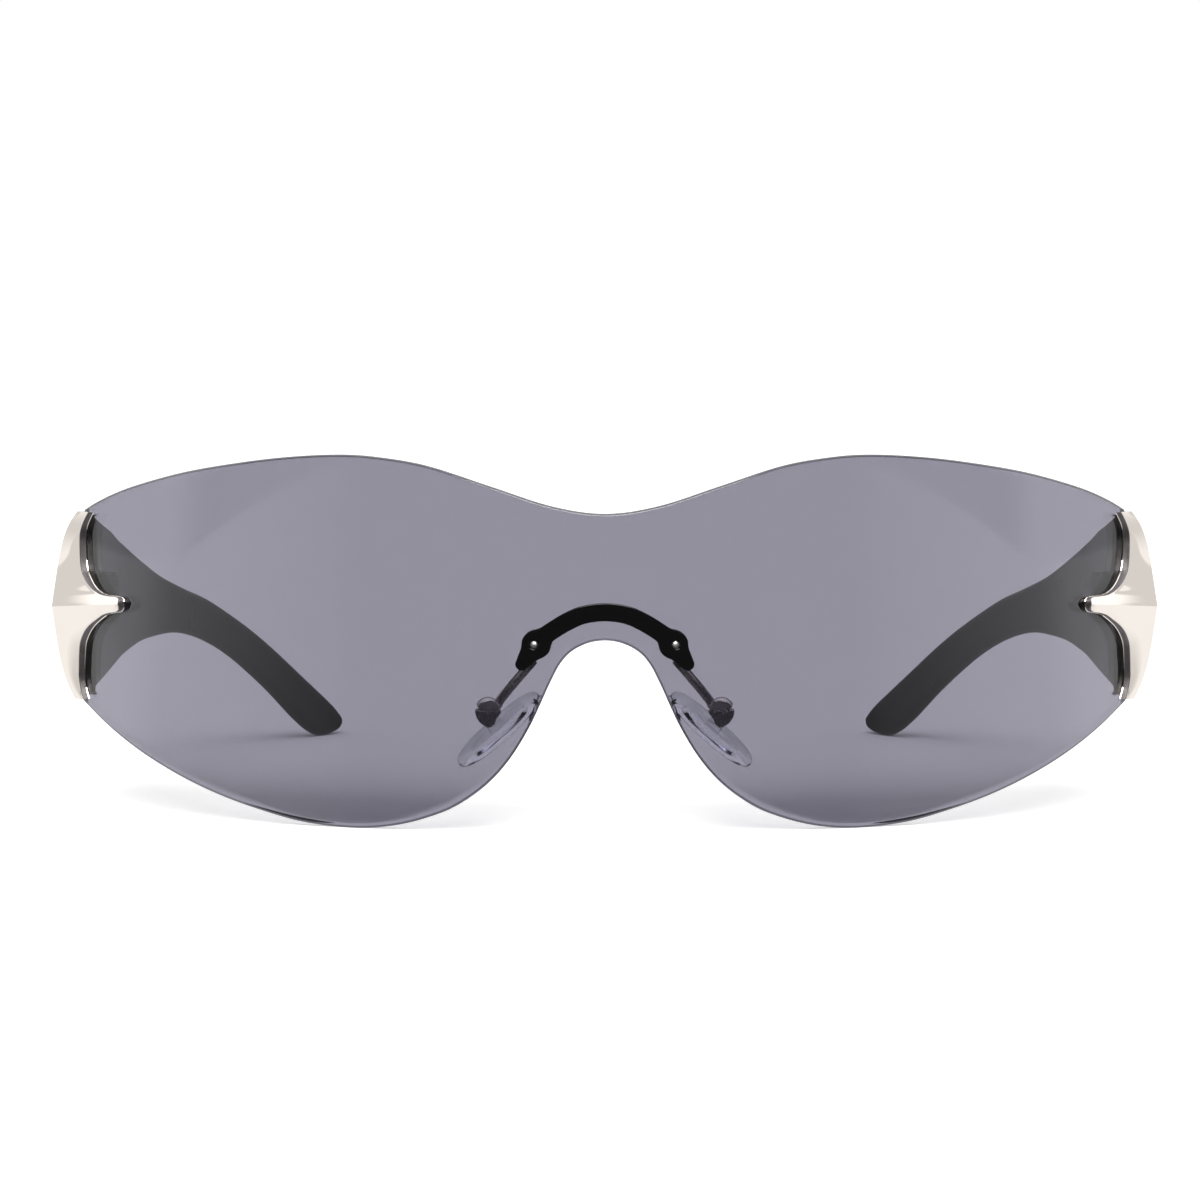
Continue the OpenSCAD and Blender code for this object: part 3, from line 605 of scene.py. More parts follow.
# The boss with its screw hole's start, and the peg beside it, as (radius, height over the lens)
BOSS = [(0.61, -LENS_T + 0.3), (0.61, -LENS_T), (1.05, -LENS_T), (1.1, -LENS_T + 0.1), (1.1, 0.3)]
PEG = [(0.5, -1.6), (0.6, -1.5), (0.6, 0.3)]
HALF, SIDE_ROWS, BODY_ROWS, FACE_COLS, REAR_COLS = 9, 12, 40, 16, 8


def seat_x(y, z):
    """The inside of an end piece: on the lens, then out to the rear arm and along it."""
    r = face_r(z) + SEAT
    end_x = r * math.sin(END_ANGLE)
    if y <= LENS_WRAP:
        return math.sqrt(r * r - (LENS_R - y) ** 2)
    if y >= APEX_Y:
        return REAR_IN_X
    return end_x + (REAR_IN_X - end_x) * (y - LENS_WRAP) / (APEX_Y - LENS_WRAP)


def over_end(reach, rise, out):
    """A point over the lens, reach inwards from the end piece's middle and rise above its ridge."""
    return on_lens(CENTRE_ANGLE - reach / LENS_R, RIDGE_H + rise, out)


def end_share(rise):
    """Share of the way to the upper or the lower point at a height above (+) or below the ridge."""
    return min(abs(rise) / (END_RISE if rise > 0 else END_DROP), 1.0)


def spine(rise):
    """The end piece's outer corner at a height above (+) or below (-) its ridge."""
    share = end_share(rise)
    inset, steady, power, pull, pull_power = SPINE_UP if rise > 0 else SPINE_LOW
    inset *= steady * share + (1 - steady) * share ** power
    return np.array([APEX_X - inset, APEX_Y - pull * share ** pull_power,
                     RIDGE_H + rise - RIDGE_DROP * (1 - share) ** 2])


def end_outline(sign):
    """Points (reach, rise) and outward normals of the front outline: tip, side of the arm, body."""
    table = np.array(BRACE_UP if sign > 0 else BRACE_LOW)
    table = table[:, ::-1] * np.array([END_FRONT, END_RISE if sign > 0 else END_DROP])
    line = smooth_curve(table, 14, start=table[1] * np.array([1, -1]))
    normal = normals_2d(line)
    if normal[len(normal) // 2][0] < 0:
        normal = -normal
    both = np.hstack([line, normal])

    def at_reach(r):
        return np.array([np.interp(-r, -both[:, 0], both[:, k]) for k in range(4)])

    tip_end, root = (int(np.argmax(line[:, 0] < r)) for r in (ARM_TIP, ARM_ROOT))
    tip = even(np.vstack([both[:tip_end], at_reach(ARM_TIP)]), HALF + 1)
    side = np.array([at_reach(r) for r in np.linspace(ARM_TIP, ARM_ROOT, SIDE_ROWS + 1)])
    body = even(np.vstack([at_reach(ARM_ROOT), both[root:]]), BODY_ROWS + 1)
    for part in (tip, side, body):
        part[:, 2:] /= np.linalg.norm(part[:, 2:], axis=1)[:, None]
    tip[0, 2:] = (1, 0)
    return tip, side, body


def rim_height(reach, rise):
    """Height of the rim over the lens at a reach and a distance from the ridge."""
    crest = TIP_CREST * max(1 - rise / CREST_HALF, 0.0) if reach >= ARM_TIP else 0.0
    drop = FINGER_DROP * ease((reach - DROP_FROM) / DROP_OVER)
    return RIM_T - drop + crest - END_THIN * rise / END_RISE


def rim_chain(point, sign):
    """From the lens up the wall of the rim and round its fillet to the edge of the face."""
    reach, rise, nr, nv = point
    height = rim_height(reach, rise)

    def at(inset, out):
        return over_end(reach - nr * inset, sign * max(rise - nv * inset, 0), out)

    turns = [math.pi / 2 * k / 3 for k in range(4)]
    return [at(-RIM_FOOT, SEAT), at(0, SEAT + 0.1), at(0, (height - FILLET) / 2)] + [
        at(FILLET * (1 - math.cos(a)), height - FILLET + FILLET * math.sin(a)) for a in turns]


def make_end_piece():
    b = Build()
    rear_line = smooth_curve(np.array(BRACE_REAR), 12, start=(-0.05, 0.957))
    parts = {sign: end_outline(sign) for sign in (1, -1)}
    tip = [(q, 1) for q in parts[1][0][::-1]] + [(q, -1) for q in parts[-1][0][1:]]
    tip_chains = [b.ring(rim_chain(q, sign)) for q, sign in tip]
    side_chains, body_chains = (
        {sign: [b.ring(rim_chain(q, sign)) for q in parts[sign][k]] for sign in (1, -1)}
        for k in (1, 2))
    for group in (side_chains[1], side_chains[-1], body_chains[1], body_chains[-1], tip_chains):
        for one, two in zip(group, group[1:]):
            # The rim's wall faces take the second slot, the chrome's darker copy with painted shade
            b.second += range(len(b.faces) + 1, len(b.faces) + 4)
            b.strip(one, two, closed=False)

    # The ridge runs straight from the tip of the arm to the outer corner
    t = np.linspace(0, 1, 200)[:, None]
    start = over_end(ARM_FRONT - FILLET, 0, rim_height(ARM_FRONT, 0))
    ridge = start + (spine(0) - start) * t
    ridge_reach = (CENTRE_ANGLE - np.arctan2(ridge[:, 0], LENS_R - ridge[:, 1])) * LENS_R
    ridge_out = np.hypot(ridge[:, 0], LENS_R - ridge[:, 1]) - face_r(RIDGE_H)

    def section(reach, ends):
        """Face points and underside points across the arm, from its upper edge to its lower one."""
        top, low = (np.array(b.verts[ends[sign][-1]]) for sign in (1, -1))
        crest = over_end(reach, 0, float(np.interp(-reach, -ridge_reach, ridge_out)))
        crest[2] = float(np.interp(-reach, -ridge_reach, ridge[:, 2]))
        face, under = [], []
        for i in range(1, 2 * HALF):
            u = 1 - i / HALF
            edge = top if u > 0 else low
            face.append(crest + (edge - crest) * abs(u))
            rise = abs(u) * abs(edge[2] - RIDGE_H)
            under.append(over_end(reach, (1 if u > 0 else -1) * rise, SEAT))
        return [[ends[1][k]] + b.ring(points) + [ends[-1][k]]
                for k, points in ((-1, face), (0, under))]

    sections = [section(parts[1][1][j][0], {sign: side_chains[sign][j] for sign in (1, -1)})
                for j in range(SIDE_ROWS + 1)]
    for one, two in zip(sections, sections[1:]):
        for k in (0, 1):
            b.strip(one[k], two[k], closed=False)
    for k in (0, 1):
        b.strip([chain[k - 1] for chain in tip_chains], sections[0][k], closed=False)

    def row(first, last):
        """From the face round the corner, along the rear arm and back inside to the lens."""
        p, foot = np.array(b.verts[first]), np.array(b.verts[last])
        above = p[2] - RIDGE_H
        rise = above + crest_drop * max(1 - abs(above) / RIDGE_SPAN, 0)
        corner = spine(rise)
        z = corner[2]
        chord = corner - p
        across = np.array([chord[1], -chord[0], 0.0]) / np.linalg.norm(chord)
        across = across * SWELL * clamp((-rise - SWELL_FROM) / SWELL_OVER)
        ring = [p + chord * (k / FACE_COLS) + across * math.sin(math.pi * k / FACE_COLS)
                for k in range(1, FACE_COLS + 1)]
        length = float(np.interp(end_share(rise), rear_line[:, 0], rear_line[:, 1]))
        back_y = corner[1] + END_REAR * length
        back_x = min(corner[0], REAR_IN_X + RIM_T + SEAT)
        back_in = min(seat_x(back_y, z), back_x - THINNEST)
        f = min(FILLET, (back_x - back_in) * 0.4)
        stop = np.array([back_x, back_y - f, z])
        ring += [corner + (stop - corner) * k / REAR_COLS for k in range(1, REAR_COLS + 1)]
        for k in range(1, 4):
            a = math.pi / 2 * k / 3
            ring.append([back_x - f * (1 - math.cos(a)), back_y - f + f * math.sin(a), z])
        ring.append([back_in, back_y, z])
        knee = min(LENS_WRAP, foot[1] + (back_y - foot[1]) * 0.8)
        step = min(APEX_Y, (knee + back_y) / 2)
        inner = [*np.linspace(back_y, step, 4)[1:], *np.linspace(step, knee, 3)[1:],
                 *np.linspace(knee, foot[1], 9)[1:-1]]
        for y, level in zip(inner, np.linspace(z, foot[2], len(inner) + 1)):
            ring.append([min(seat_x(y, level), back_x - THINNEST), y, level])
        ids = b.ring(ring)
        if first == face[HALF]:
            b.crisp = [tip_chains[HALF][-1]] + [s[0][HALF] for s in sections]
            b.crisp += ids[:FACE_COLS + REAR_COLS + 1]
        return [first] + ids + [last]

    face, under = sections[-1]
    crest_drop = RIDGE_H - b.verts[face[HALF]][2]
    rows = [row(c[-1], c[0]) for c in body_chains[1][::-1]]
    rows += [row(f, g) for f, g in zip(face[1:-1], under[1:-1])]
    rows += [row(c[-1], c[0]) for c in body_chains[-1]]
    for one, two in zip(rows, rows[1:]):
        b.strip(one, two, closed=False)
    for chain, end in ((body_chains[1][-1], rows[0]), (body_chains[-1][-1], rows[-1])):
        ring = chain + end[1:-1]
        b.fan(ring, np.mean([b.verts[k] for k in ring], axis=0))
    for angle, profile in ((BOSS_ANGLE, BOSS), (PEG_ANGLE, PEG)):
        lathe(b, *lens_frame(angle, RIDGE_H), profile)
    return b


for label, side in SIDES:
    shape = make_end_piece()
    piece = add_mesh(f"{label}_chrome_brace", shape, side, sharp=24.0)
    # The ridge stays crisp all the way round
    marks = piece.data.attributes
    crisp = marks.get("sharp_edge") or marks.new("sharp_edge", "BOOLEAN", "EDGE")
    ridge_at = {tuple(np.round(np.array(shape.verts[k]) * (side, 1, 1), 3)) for k in shape.crisp}
    on_ridge = [tuple(np.round(np.array(v.co) * 1000 + (0, MIDDLE_Y, 0), 3)) in ridge_at
                for v in piece.data.vertices]
    for edge in piece.data.edges:
        if on_ridge[edge.vertices[0]] and on_ridge[edge.vertices[1]]:
            crisp.data[edge.index].value = True
    # The walls of its rim take the darker copy of the chrome, painted shade
    finish_piece(piece, "front", "chrome", f"{label}_end_piece", second="shaded_chrome_side")

# ------ temples

# Shares of the way back and of the height
TEMPLE_TOP = [[0, 0.978], [0.07, 0.944], [0.18, 0.897], [0.26, 0.852], [0.37, 0.773],
              [0.46, 0.704], [0.55, 0.646], [0.64, 0.586], [0.74, 0.486], [0.82, 0.382],
              [0.9, 0.252], [0.965, 0.136], [0.99, 0.08]]
TEMPLE_TIP = [[1, 0.055], [0.992, 0.02], [0.97, 0.002], [0.95, 0]]
TEMPLE_LOW = [[0.93, 0.0189], [0.9, 0.0669], [0.83, 0.1976], [0.76, 0.3044], [0.7, 0.3776],
              [0.64, 0.4305], [0.58, 0.4658], [0.52, 0.4842], [0.45, 0.4864], [0.37, 0.479],
              [0.3, 0.4525], [0.18, 0.4], [0, 0.356]]
# The arm thins behind the hinge leaf, by this much on each face
TEMPLE_SLIM, SLIM_FROM, SLIM_OVER = 0.6, 16.0, 16.0
# Radii of its front edge and its long edges, how its tip rounds in plan, its least height
FRONT_R, LONG_R, TIP_ROUND, TIP_SPAN, TEMPLE_LEAST = 0.6, 1.05, 2.2, 4.0, 0.05
# Lower facet of the inner face: the crease over it at the front and how that falls, its depth
# below the crease, and where it has run out
CREASE_H, CREASE_FALL, FACET_DEPTH, FACET_END, FACET_FADE = 24.0, 3.6 / 46.0, 1.55 / 9.4, 50.0, 12.0


def bowed(px, pz, d):
    """A point of the section d back, on the straight front of the temple or on its bow."""
    if d <= TEMPLE_STRAIGHT:
        return [TEMPLE_IN_X + TEMPLE_T / 2 + px, TEMPLE_Y + d, pz]
    # The sections are distances back, so the bow is followed at that distance
    mid_r = BOW_R + TEMPLE_T / 2
    angle = math.asin((d - TEMPLE_STRAIGHT) / mid_r)
    y = min(TEMPLE_STRAIGHT + (mid_r + px) * math.sin(angle), TEMPLE_LEN)
    return [TEMPLE_IN_X - BOW_R + (mid_r + px) * math.cos(angle), TEMPLE_Y + y, pz]


def temple_section(d, top, low):
    """The outline of the temple's section d back, between its top and its bottom line."""
    zt = float(np.interp(d, top[:, 0], top[:, 1]))
    zb = max(float(np.interp(d, low[:, 0], low[:, 1])), 0.0)
    if zt - zb < TEMPLE_LEAST:
        middle = (zt + zb) / 2
        zt, zb = middle + TEMPLE_LEAST / 2, middle - TEMPLE_LEAST / 2
    pull = FRONT_R * (1 - math.sqrt(max(0, 1 - (1 - min(d / FRONT_R, 1)) ** 2)))
    near_tip = min((TEMPLE_LEN - d) / TIP_ROUND, 1.0)
    half = TEMPLE_T / 2 - TEMPLE_SLIM * ease((d - SLIM_FROM) / SLIM_OVER)
    half = half * math.sqrt(max(1 - (1 - near_tip) ** 2, 0.0004)) - pull
    zt, zb = zt - pull, zb + pull
    edge = min(LONG_R, half * 0.92, (zt - zb) * 0.45)
    crease = CREASE_H - CREASE_FALL * d
    depth = max(0.0, FACET_DEPTH * (crease - zb)) * clamp((FACET_END - d) / FACET_FADE)
    depth = min(depth, half * 1.05)

    # Four round corners, each followed by the straight side that leads to the next one
    points = []
    for sx, sz, turn, stop in ((1, 1, 90, (half, zb + edge)), (1, -1, 0, (edge - half, zb)),
                               (-1, -1, -90, (-half, zt - edge)), (-1, 1, 180, (half - edge, zt))):
        cx, cz = sx * (half - edge), zt - edge if sz > 0 else zb + edge
        for a in np.radians(np.linspace(turn, turn - 90, 7)):
            points.append((cx + edge * math.cos(a), cz + edge * math.sin(a)))
        x0, z0 = points[-1]
        points += [(x0 + (stop[0] - x0) * k / 8, z0 + (stop[1] - z0) * k / 8) for k in range(1, 8)]
    ring = []
    for px, pz in points:
        if px < 0 and pz < crease and depth > 0:
            lean = depth * (crease - pz) / max(crease - zb, 0.1)
            px += lean * min(1.0, -px / max(half - edge, 0.1) if px > edge - half else 1.0)
        ring.append(bowed(px, pz, d))
    return ring


def make_temple():
    scale = np.array([TEMPLE_LEN, TEMPLE_TOP_H])
    top = smooth_curve(np.array(TEMPLE_TOP + TEMPLE_TIP[:1]) * scale, 10)
    low = smooth_curve(np.array(TEMPLE_LOW[::-1] + TEMPLE_TIP[::-1]) * scale, 10)
    tip_from = TEMPLE_LEN - TIP_SPAN
    tip = tip_from + TIP_SPAN * np.sin(np.linspace(0, math.pi / 2, 16))
    b = Build()
    b.loft([temple_section(d, top, low) for d in (
        *np.linspace(0, FRONT_R, 5), *np.linspace(FRONT_R, tip_from, 150)[1:], *tip[1:])])
    return b


for label, side in SIDES:
    piece = add_mesh(f"{label}_temple_arm", make_temple(), side, sharp=40.0)
    finish_piece(piece, f"{label}_side", "black_plastic", f"{label}_temple")

# ------ bridge plate and its screws

ARCH_SHARES = ((0, 1), (0.3, 0.917), (0.5, 0.74), (0.7, 0.49), (1, 0.05))
arch = stretch_shares(ARCH_SHARES, 0, SCREW_X, SCREW_H, SCREW_H + ARCH_RISE)
ARCH = smooth_curve(arch, 12, start=(-arch[1][0], arch[1][1]))
LOBE_SHIFT = 0.3


def to_line(x, z, line):
    """Distance of points from a polyline."""
    best = np.full(np.shape(x), 1e9)
    for a, b in zip(line, line[1:]):
        d = b - a
        t = np.clip(((x - a[0]) * d[0] + (z - a[1]) * d[1]) / max(d @ d, 1e-12), 0, 1)
        best = np.minimum(best, np.hypot(x - a[0] - t * d[0], z - a[1] - t * d[1]))
    return best


def blend_max(a, b, k):
    """The larger of two distances, with a fillet of about k where they meet."""
    h = np.clip(0.5 + 0.5 * (a - b) / k, 0, 1)
    return b + (a - b) * h + k * h * (1 - h)


def lobe_and_tail(x, z, shift, root):
    """Distances, positive inside, to a round lobe about a bridge screw and to the tail below it.

    The tail narrows from root, a share of the lobe's radius, and runs down and out.
    """
    lobe = LOBE_R - np.hypot(x - SCREW_X + shift, z - SCREW_H)
    tail, root = np.full(np.shape(x), -1e9), LOBE_R * root
    for t in np.linspace(0, 1, 25):
        far = np.hypot(x - SCREW_X + shift - (TAIL_X + shift) * t, z - SCREW_H + TAIL_DROP * t)
        tail = np.maximum(tail, root + (TAIL_R - root) * t - far)
    return lobe, tail


def bridge_shape(x, z):
    """The arched band, its lobes and tails and the screw holes, as a distance."""
    x = np.abs(x)
    band = BAND_W / 2 + 0.1 - to_line(x, z, ARCH)
    lobe, tail = lobe_and_tail(x, z, LOBE_SHIFT, 0.88)
    body = blend_max(blend_max(band, lobe, 0.6), tail, 0.2)
    return np.minimum(body, np.hypot(x - SCREW_X, z - SCREW_H) - 0.56)


shape = Build()
plate(shape, bridge_shape, (-13.2, 13.2, 20.4, 30.2), 0.11, 0.1, BRIDGE_T,
      lambda x, z, d: over_lens(x, z, SEAT + BRIDGE_T - d))
finish_piece(add_mesh("nose_arch", shape), "front", "black_metal", "bridge_plate")

SHANK_R, SHANK_BACK, SHANK_DOME, SHANK_TIP = 0.5, -3.2, 0.2, SEAT + BRIDGE_T - 0.12
SHANK = [(SHANK_R, SHANK_BACK), (SHANK_R, SHANK_TIP - SHANK_DOME)] + [
    (SHANK_R * math.cos(a), SHANK_TIP - SHANK_DOME + SHANK_DOME * math.sin(a))
    for a in np.linspace(0.2, 1.45, 9)]
HEAD_FRONT = -(LUG_FRONT + LUG_T + CLEAR)
HEAD = [(0.55, -0.7), (0.85, -0.66), (1.03, -0.5), (1.1, -0.3), (1.1, -0.05), (1.05, 0), (0.5, 0)]
# Half the length and width of the slot in a head, where it starts and how deep the cutter is
SLOT_L, SLOT_W, SLOT_BACK, SLOT_TOOL = 1.6, 0.14, 0.95, 0.6

shape = Build()
for sx in (1, -1):
    at, out = lens_frame(SCREW_ANGLE * sx, SCREW_H)
    lathe(shape, at, out, SHANK, 40)
    lathe(shape, at, out, [(r, HEAD_FRONT + h) for r, h in HEAD])
piece = add_mesh("bridge_screw_pair", shape, sharp=35)
for sx in (1, -1):
    at, out = lens_frame(SCREW_ANGLE * sx, SCREW_H)
    u, v, _ = basis(out)
    tool = Build()
    corners = [at + out * (HEAD_FRONT - SLOT_BACK) + u * a * SLOT_L + v * b * SLOT_W
               for a, b in ((1, 1), (-1, 1), (-1, -1), (1, -1))]
    tool.loft([corners, [corner + out * SLOT_TOOL for corner in corners]])
    cut(piece, tool)
finish_piece(piece, "front", "steel", "bridge_screws")
dress_cad("bridge_bushings", "clear_nylon")

# ------ nose pad units

ARM_ROUTE = [[9.1, 3.35, 22.15], [9.35, 3.45, 21.8], [10.1, 4.9, 20.87], [11.15, 7.1, 19.52],
             [12.2, 8.8, 18.2], [13.1, 9.5, 17.05], [13.58, 9.65, 16.4], [13.78, 9.65, 15.95],
             [14.1, 9.62, 15.7], [14.5, 9.6, 15.65]]
WIRE_R = 0.6
# The cheeks and the wall between them: radius and centre of their round outlines, the height
# and lean of the line where they meet, the bore for the screw, and the grid they are drawn on
CHEEK_R, CHEEK_AT, WALL_R, WALL_AT = 2.385, (-0.89, 0.97), 1.62, (-0.15, 0.84)
CHEEK_TOP, WALL_FOOT, TOP_LEAN, BORE_R, BOX_CELL = 0.95, 0.99, 0.055, 0.52, 0.08
CHEEK_T, CHEEKS_Y, WALL_T = 0.6, (-1.6, 1.0), 3.0
# The pads are rounded ovals, a little narrower above, crowned in front and hollowed behind
PAD_POWER, PAD_NARROW, PAD_CROWN, PAD_HOLLOW = 2.35, 0.10, 0.42, 0.22
PAD_AROUND, PAD_RINGS = 96, 22


def turned(a, b, angle):
    """The pair a, b turned through an angle."""
    return a * math.cos(angle) - b * math.sin(angle), a * math.sin(angle) + b * math.cos(angle)


def from_pivot(p):
    """A point along a pad's length, across it and away from the nose, in the part's own axes."""
    x, y, z = p
    y, z = turned(y, z, PAD_SPLAY)
    x, z = turned(x, z, -PAD_SLOPE)
    return PIVOT + np.array([x, y, z])


def make_pad_arm():
    b = Build()

    def lug(x, z):
        body = blend_max(*lobe_and_tail(x, z, 0.0, 0.75), 0.4)
        return np.minimum(body, np.hypot(x - SCREW_X, z - SCREW_H) - 0.55)

    plate(b, lug, (SCREW_X - 2.4, SCREW_X + 3.4, SCREW_H - 4.0, SCREW_H + 2.4), 0.12, 0.14, LUG_T,
          lambda x, z, d: over_lens(x, z, -LUG_FRONT - d))
    tube(b, even(smooth_curve(ARM_ROUTE, 12), 90), WIRE_R, 28)
    return b


def make_pad_box():
    """Two dark cheeks with level tops, and the dome of the wall over the stem in a brighter copy of
    the metal, a painted highlight.
    """
    b = Build()
    lift = math.tan(PAD_SPLAY)

    def cheek(x, z):
        across, height = turned(x, z, -PAD_SLOPE)
        disc = CHEEK_R - np.hypot(across - CHEEK_AT[0], height - CHEEK_AT[1])
        flat = CHEEK_TOP + across * TOP_LEAN - height
        lower = (across + 1.98) * 0.824 + (height - 0.84) * 0.567
        bore = np.hypot(x, z - shift) - BORE_R
        return np.minimum(np.minimum(np.minimum(disc, flat), lower), bore)

    def wall(x, z):
        across, height = turned(x, z, -PAD_SLOPE)
        dome = WALL_R - np.hypot(across - WALL_AT[0], height - WALL_AT[1])
        return np.minimum(dome, height - WALL_FOOT - across * TOP_LEAN)

    def wall_place(x, z, d):
        y = d - WALL_T / 2
        return from_pivot((x, y, z - 0.6 * lift * y))

    for y0 in CHEEKS_Y:
        shift = (y0 + CHEEK_T / 2) * lift
        plate(b, cheek, (-2.4, 2.0, -1.6, 2.2), BOX_CELL, 0.1, CHEEK_T,
              lambda x, z, d: from_pivot((x, y0 + d, z - shift)))
    wall_start = len(b.faces)
    plate(b, wall, (-2.6, 1.6, 0.0, 2.8), BOX_CELL, 0.3, WALL_T, wall_place, steps=6)
    # The wall takes the second slot, the brighter copy of the metal with the painted highlight
    b.second = range(wall_start, len(b.faces))
    return b


def make_nose_pad():
    """A soft oval pad, crowned on the side of the nose and hollowed a little round its stem."""
    half_l, half_w = PAD_L / 2 - 0.35, PAD_W / 2
    outline = []
    for a in np.linspace(0, 2 * math.pi, PAD_AROUND, endpoint=False):
        c, s = math.cos(a), math.sin(a)
        k = (abs(c / half_l) ** PAD_POWER + abs(s / half_w) ** PAD_POWER) ** (-1 / PAD_POWER)
        upper = -k * c / half_l if c < 0 else 0.0
        outline.append((k * c, k * s * (1 - PAD_NARROW * upper ** 2)))

    def layer(t, height):
        return [from_pivot((x * t, y * t, height - PAD_BELOW)) for x, y in outline]

    def roll(t, start):
        """How far a face has rolled over at t, when it starts to at the share start."""
        over = max(0.0, (t - start) / (1 - start))
        return (1 - math.sqrt(max(0.0, 1 - over ** 2))) * (PAD_T / 2 - PAD_CROWN * 0.2)

    shares = [math.sin(math.pi / 2 * k / PAD_RINGS) for k in range(PAD_RINGS + 1)]
    rings = [layer(max(t, 0.02), -PAD_T / 2 + PAD_CROWN * t * t + roll(t, 0.80) * 0.75)
             for t in shares]
    for t in reversed(shares):
        hollow = PAD_HOLLOW * math.exp(-((t - 0.3) / 0.25) ** 2)
        rings.append(layer(max(t, 0.16), PAD_T / 2 - hollow - roll(t, 0.84) * 0.85))
    b = Build()
    b.loft(rings)
    return b


# CAD nodes of each side that are kept, with their material and the radius of their edges
KEPT = (("pad_core", "set_core", 0.0), ("pad_screw", "gunmetal", 0.08),
        ("back_plate", "black_metal", 0.1), ("end_screw", "steel", 0.1),
        ("hinge_screw", "black_steel", 0.1), ("hinge_leaf", "black_metal", 0.12),
        ("leaf_rivets", "black_steel", 0.08))

for label, side in SIDES:
    piece = add_mesh(f"{label}_bent_arm", make_pad_arm(), side)
    finish_piece(piece, "front", "gunmetal", f"{label}_pad_arm")
    piece = add_mesh(f"{label}_cheek_box", make_pad_box(), side)
    # Its wall takes the brighter copy of the metal, a painted highlight
    finish_piece(piece, "front", "gunmetal", f"{label}_pad_box", second="highlit_nickel_wall")
    piece = add_mesh(f"{label}_soft_pad", make_nose_pad(), side, sharp=60)
    finish_piece(piece, f"{label}_pad", "clear_silicone", f"{label}_nose_pad")
    for node, material, bevel in KEPT:
        dress_cad(f"{label}_{node}", material, bevel)

# ------ floor, light and camera

# How bright the room is by how far round to the front a direction points, from 0 behind to 1 at
# the camera's side
ROOM_SIDE = ((0.1, 0.3), (0.2, 0.95), (0.42, 1.0), (0.5, 0.72), (0.655, 0.55), (0.785, 0.3),
             (0.84, 0.06), (1.0, 0.05))
# Brightness of what is seen through the lens, of the soft boxes and of the light on matt faces
THROUGH_LENS, BOXES, WORLD_FILL = 0.4, 1.25, 0.45
FLOOR_HALF = 45.0


def front_ramp(tree, front):
    return tree.ramp(tree.math("MULTIPLY_ADD", front, 0.5, 0.5), ROOM_SIDE)


def ray_kinds(tree):
    """The light path's outputs, and whether a ray came by a mirror and by no matt face."""
    rays = tree.node("LightPath").outputs
    bounced = tree.math("GREATER_THAN", rays["Glossy Depth"], 0.5)
    undiffused = tree.math("LESS_THAN", rays["Diffuse Depth"], 0.5)
    return rays, bounced, undiffused


# The floor is white to the eye, and what metal mirrors of it darkens towards the camera's side
floor_mesh = bpy.data.meshes.new("floor")
corners = [(x * FLOOR_HALF, y * FLOOR_HALF, 0) for x, y in ((-1, -1), (1, -1), (1, 1), (-1, 1))]
floor_mesh.from_pydata(corners, [], [(0, 1, 2, 3)])
floor = bpy.data.objects.new("floor", floor_mesh)
bpy.context.scene.collection.objects.link(floor)
floor.location.z = -0.00002
shader, tree = new_material("floor")
for name, value in (("Base Color", (0.95, 0.95, 0.95, 1)), ("Roughness", 0.9),
                    ("Specular IOR Level", 0.0), ("Emission Color", (1, 1, 1, 1))):
    shader.inputs[name].default_value = value
spot = tree.node("TexCoord").outputs["Object"]
away = tree.math("SUBTRACT", spot, (0, -0.05, 0), kind="VectorMath")
unit = tree.math("NORMALIZE", away, kind="VectorMath")
toward = tree.math("MULTIPLY", tree.node("SeparateXYZ", Vector=unit).outputs["Y"], -1.0)
rays, bounced, undiffused = ray_kinds(tree)
passing = rays["Is Transmission Ray"]
level = tree.math("MAXIMUM", front_ramp(tree, toward), tree.math("MULTIPLY", passing, THROUGH_LENS))
own_light = tree.mix(rays["Is Camera Ray"], tree.math("MULTIPLY", passing, 0.05), 0.45)
tree.put(shader.inputs["Emission Strength"], own_light)
in_mirror = tree.math("MULTIPLY", bounced, undiffused)
tree.put(tree.nodes["Material Output"].inputs["Surface"],
         tree.blend(in_mirror, shader.outputs["BSDF"], tree.glow(level)))
floor.data.materials.append(M["floor"])

world = bpy.data.worlds.new("studio")
bpy.context.scene.world = world
world.use_nodes = True
world.node_tree.nodes.clear()
tree = Tree(world.node_tree)
rays, bounced, undiffused = ray_kinds(tree)
passing = rays["Is Transmission Ray"]
axes = tree.node("SeparateXYZ", Vector=tree.node("TexCoord").outputs["Generated"]).outputs
front, up = tree.math("MULTIPLY", axes["Y"], -1.0), axes["Z"]
# Below the upper edge of a pale screen in front, and above it
low = front_ramp(tree, front)
high = tree.math("MULTIPLY", tree.span(front, 0.17, -0.05, 0.05, 0.72),
                 tree.span(front, -0.75, -0.9, 1.0, 0.4))
slope = tree.math("MULTIPLY_ADD", tree.math("MAXIMUM", front, 0.0), -0.214, up)
room = tree.mix(tree.span(slope, -0.004, 0.006), low, high)
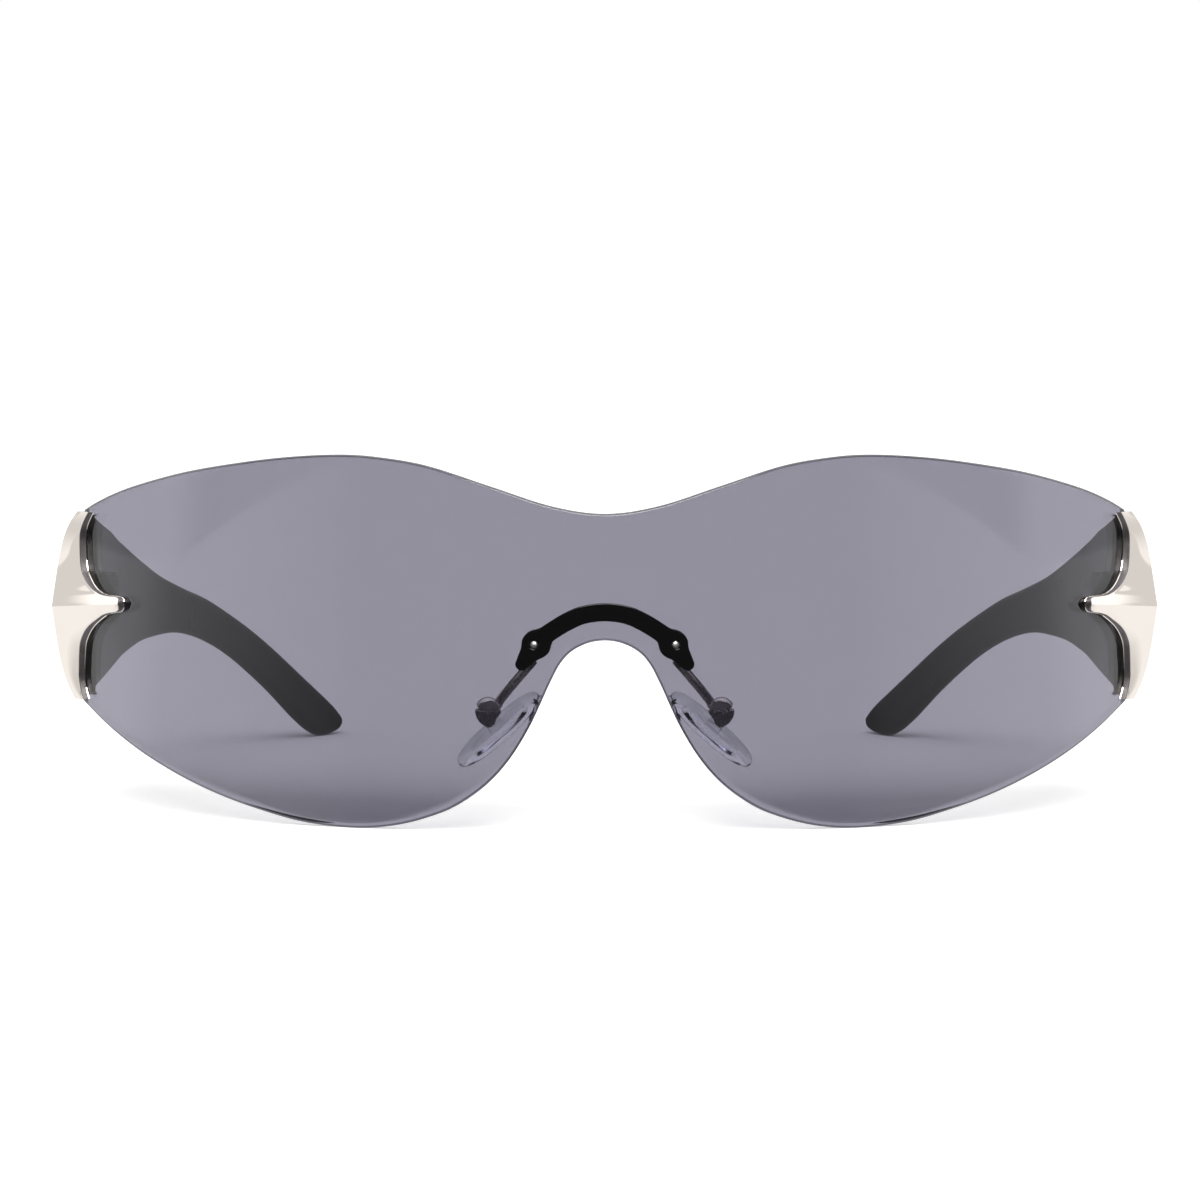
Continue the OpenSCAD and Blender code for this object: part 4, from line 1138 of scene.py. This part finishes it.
# Soft boxes stand beside and behind the object, above its height, and one hangs over it
boxes = tree.math("MULTIPLY", tree.span(up, 0.12, 0.25), tree.span(front, 0.02, -0.1))
room = tree.mix(boxes, room, BOXES)
room = tree.mix(tree.span(up, 0.7, 0.85), room, 0.95)
room = tree.math("MAXIMUM", room, tree.math("MULTIPLY", passing, THROUGH_LENS))
# White to the eye, straight on or through the lens, and the room in mirrors
through = tree.math("MULTIPLY", passing, undiffused)
seen = tree.math("MAXIMUM", rays["Is Camera Ray"],
                 tree.math("MULTIPLY", through, tree.math("SUBTRACT", 1.0, bounced)))
mirrored = tree.math("MULTIPLY", bounced, undiffused)
lit = tree.blend(mirrored, tree.glow(WORLD_FILL, "Background"), tree.glow(room, "Background"))
tree.node("OutputWorld", Surface=tree.blend(seen, lit, tree.glow(1.0, "Background")))


def soft_sun(name, elevation, spread, level):
    """A wide, soft distant light from the front that gives the floor this share of white."""
    lamp = bpy.data.lights.new(name, "SUN")
    lamp.angle = math.radians(spread)
    lamp.energy = level * math.pi / math.sin(math.radians(elevation))
    obj = bpy.data.objects.new(name, lamp)
    obj.rotation_euler = (math.radians(90 - elevation), 0, 0)
    bpy.context.scene.collection.objects.link(obj)


soft_sun("key", 36, 34, 0.42)
soft_sun("overhead", 90, 60, 0.13)

# The photograph is PIXELS wide. The camera is tilted down until its own height is at row HORIZON.
PIXELS, FOCAL_PIXELS, HORIZON, SENSOR = 1200, 5471, 310.6, 36
DISTANCE, EYE_X, EYE_Z = 0.7, -0.00062, 0.06705
camera_data = bpy.data.cameras.new("camera")
camera_data.sensor_width = SENSOR
camera_data.lens = FOCAL_PIXELS / PIXELS * SENSOR
camera_data.clip_start, camera_data.clip_end = 0.01, 200
camera = bpy.data.objects.new("camera", camera_data)
camera.location = (EYE_X, -DISTANCE - MIDDLE_Y / 1000, EYE_Z)
tilt = math.atan((PIXELS / 2 - HORIZON) / FOCAL_PIXELS)
camera.rotation_euler = (math.radians(90) - tilt, 0, 0)
bpy.context.scene.collection.objects.link(camera)
bpy.context.scene.camera = camera
bpy.context.scene.view_settings.view_transform = "Standard"
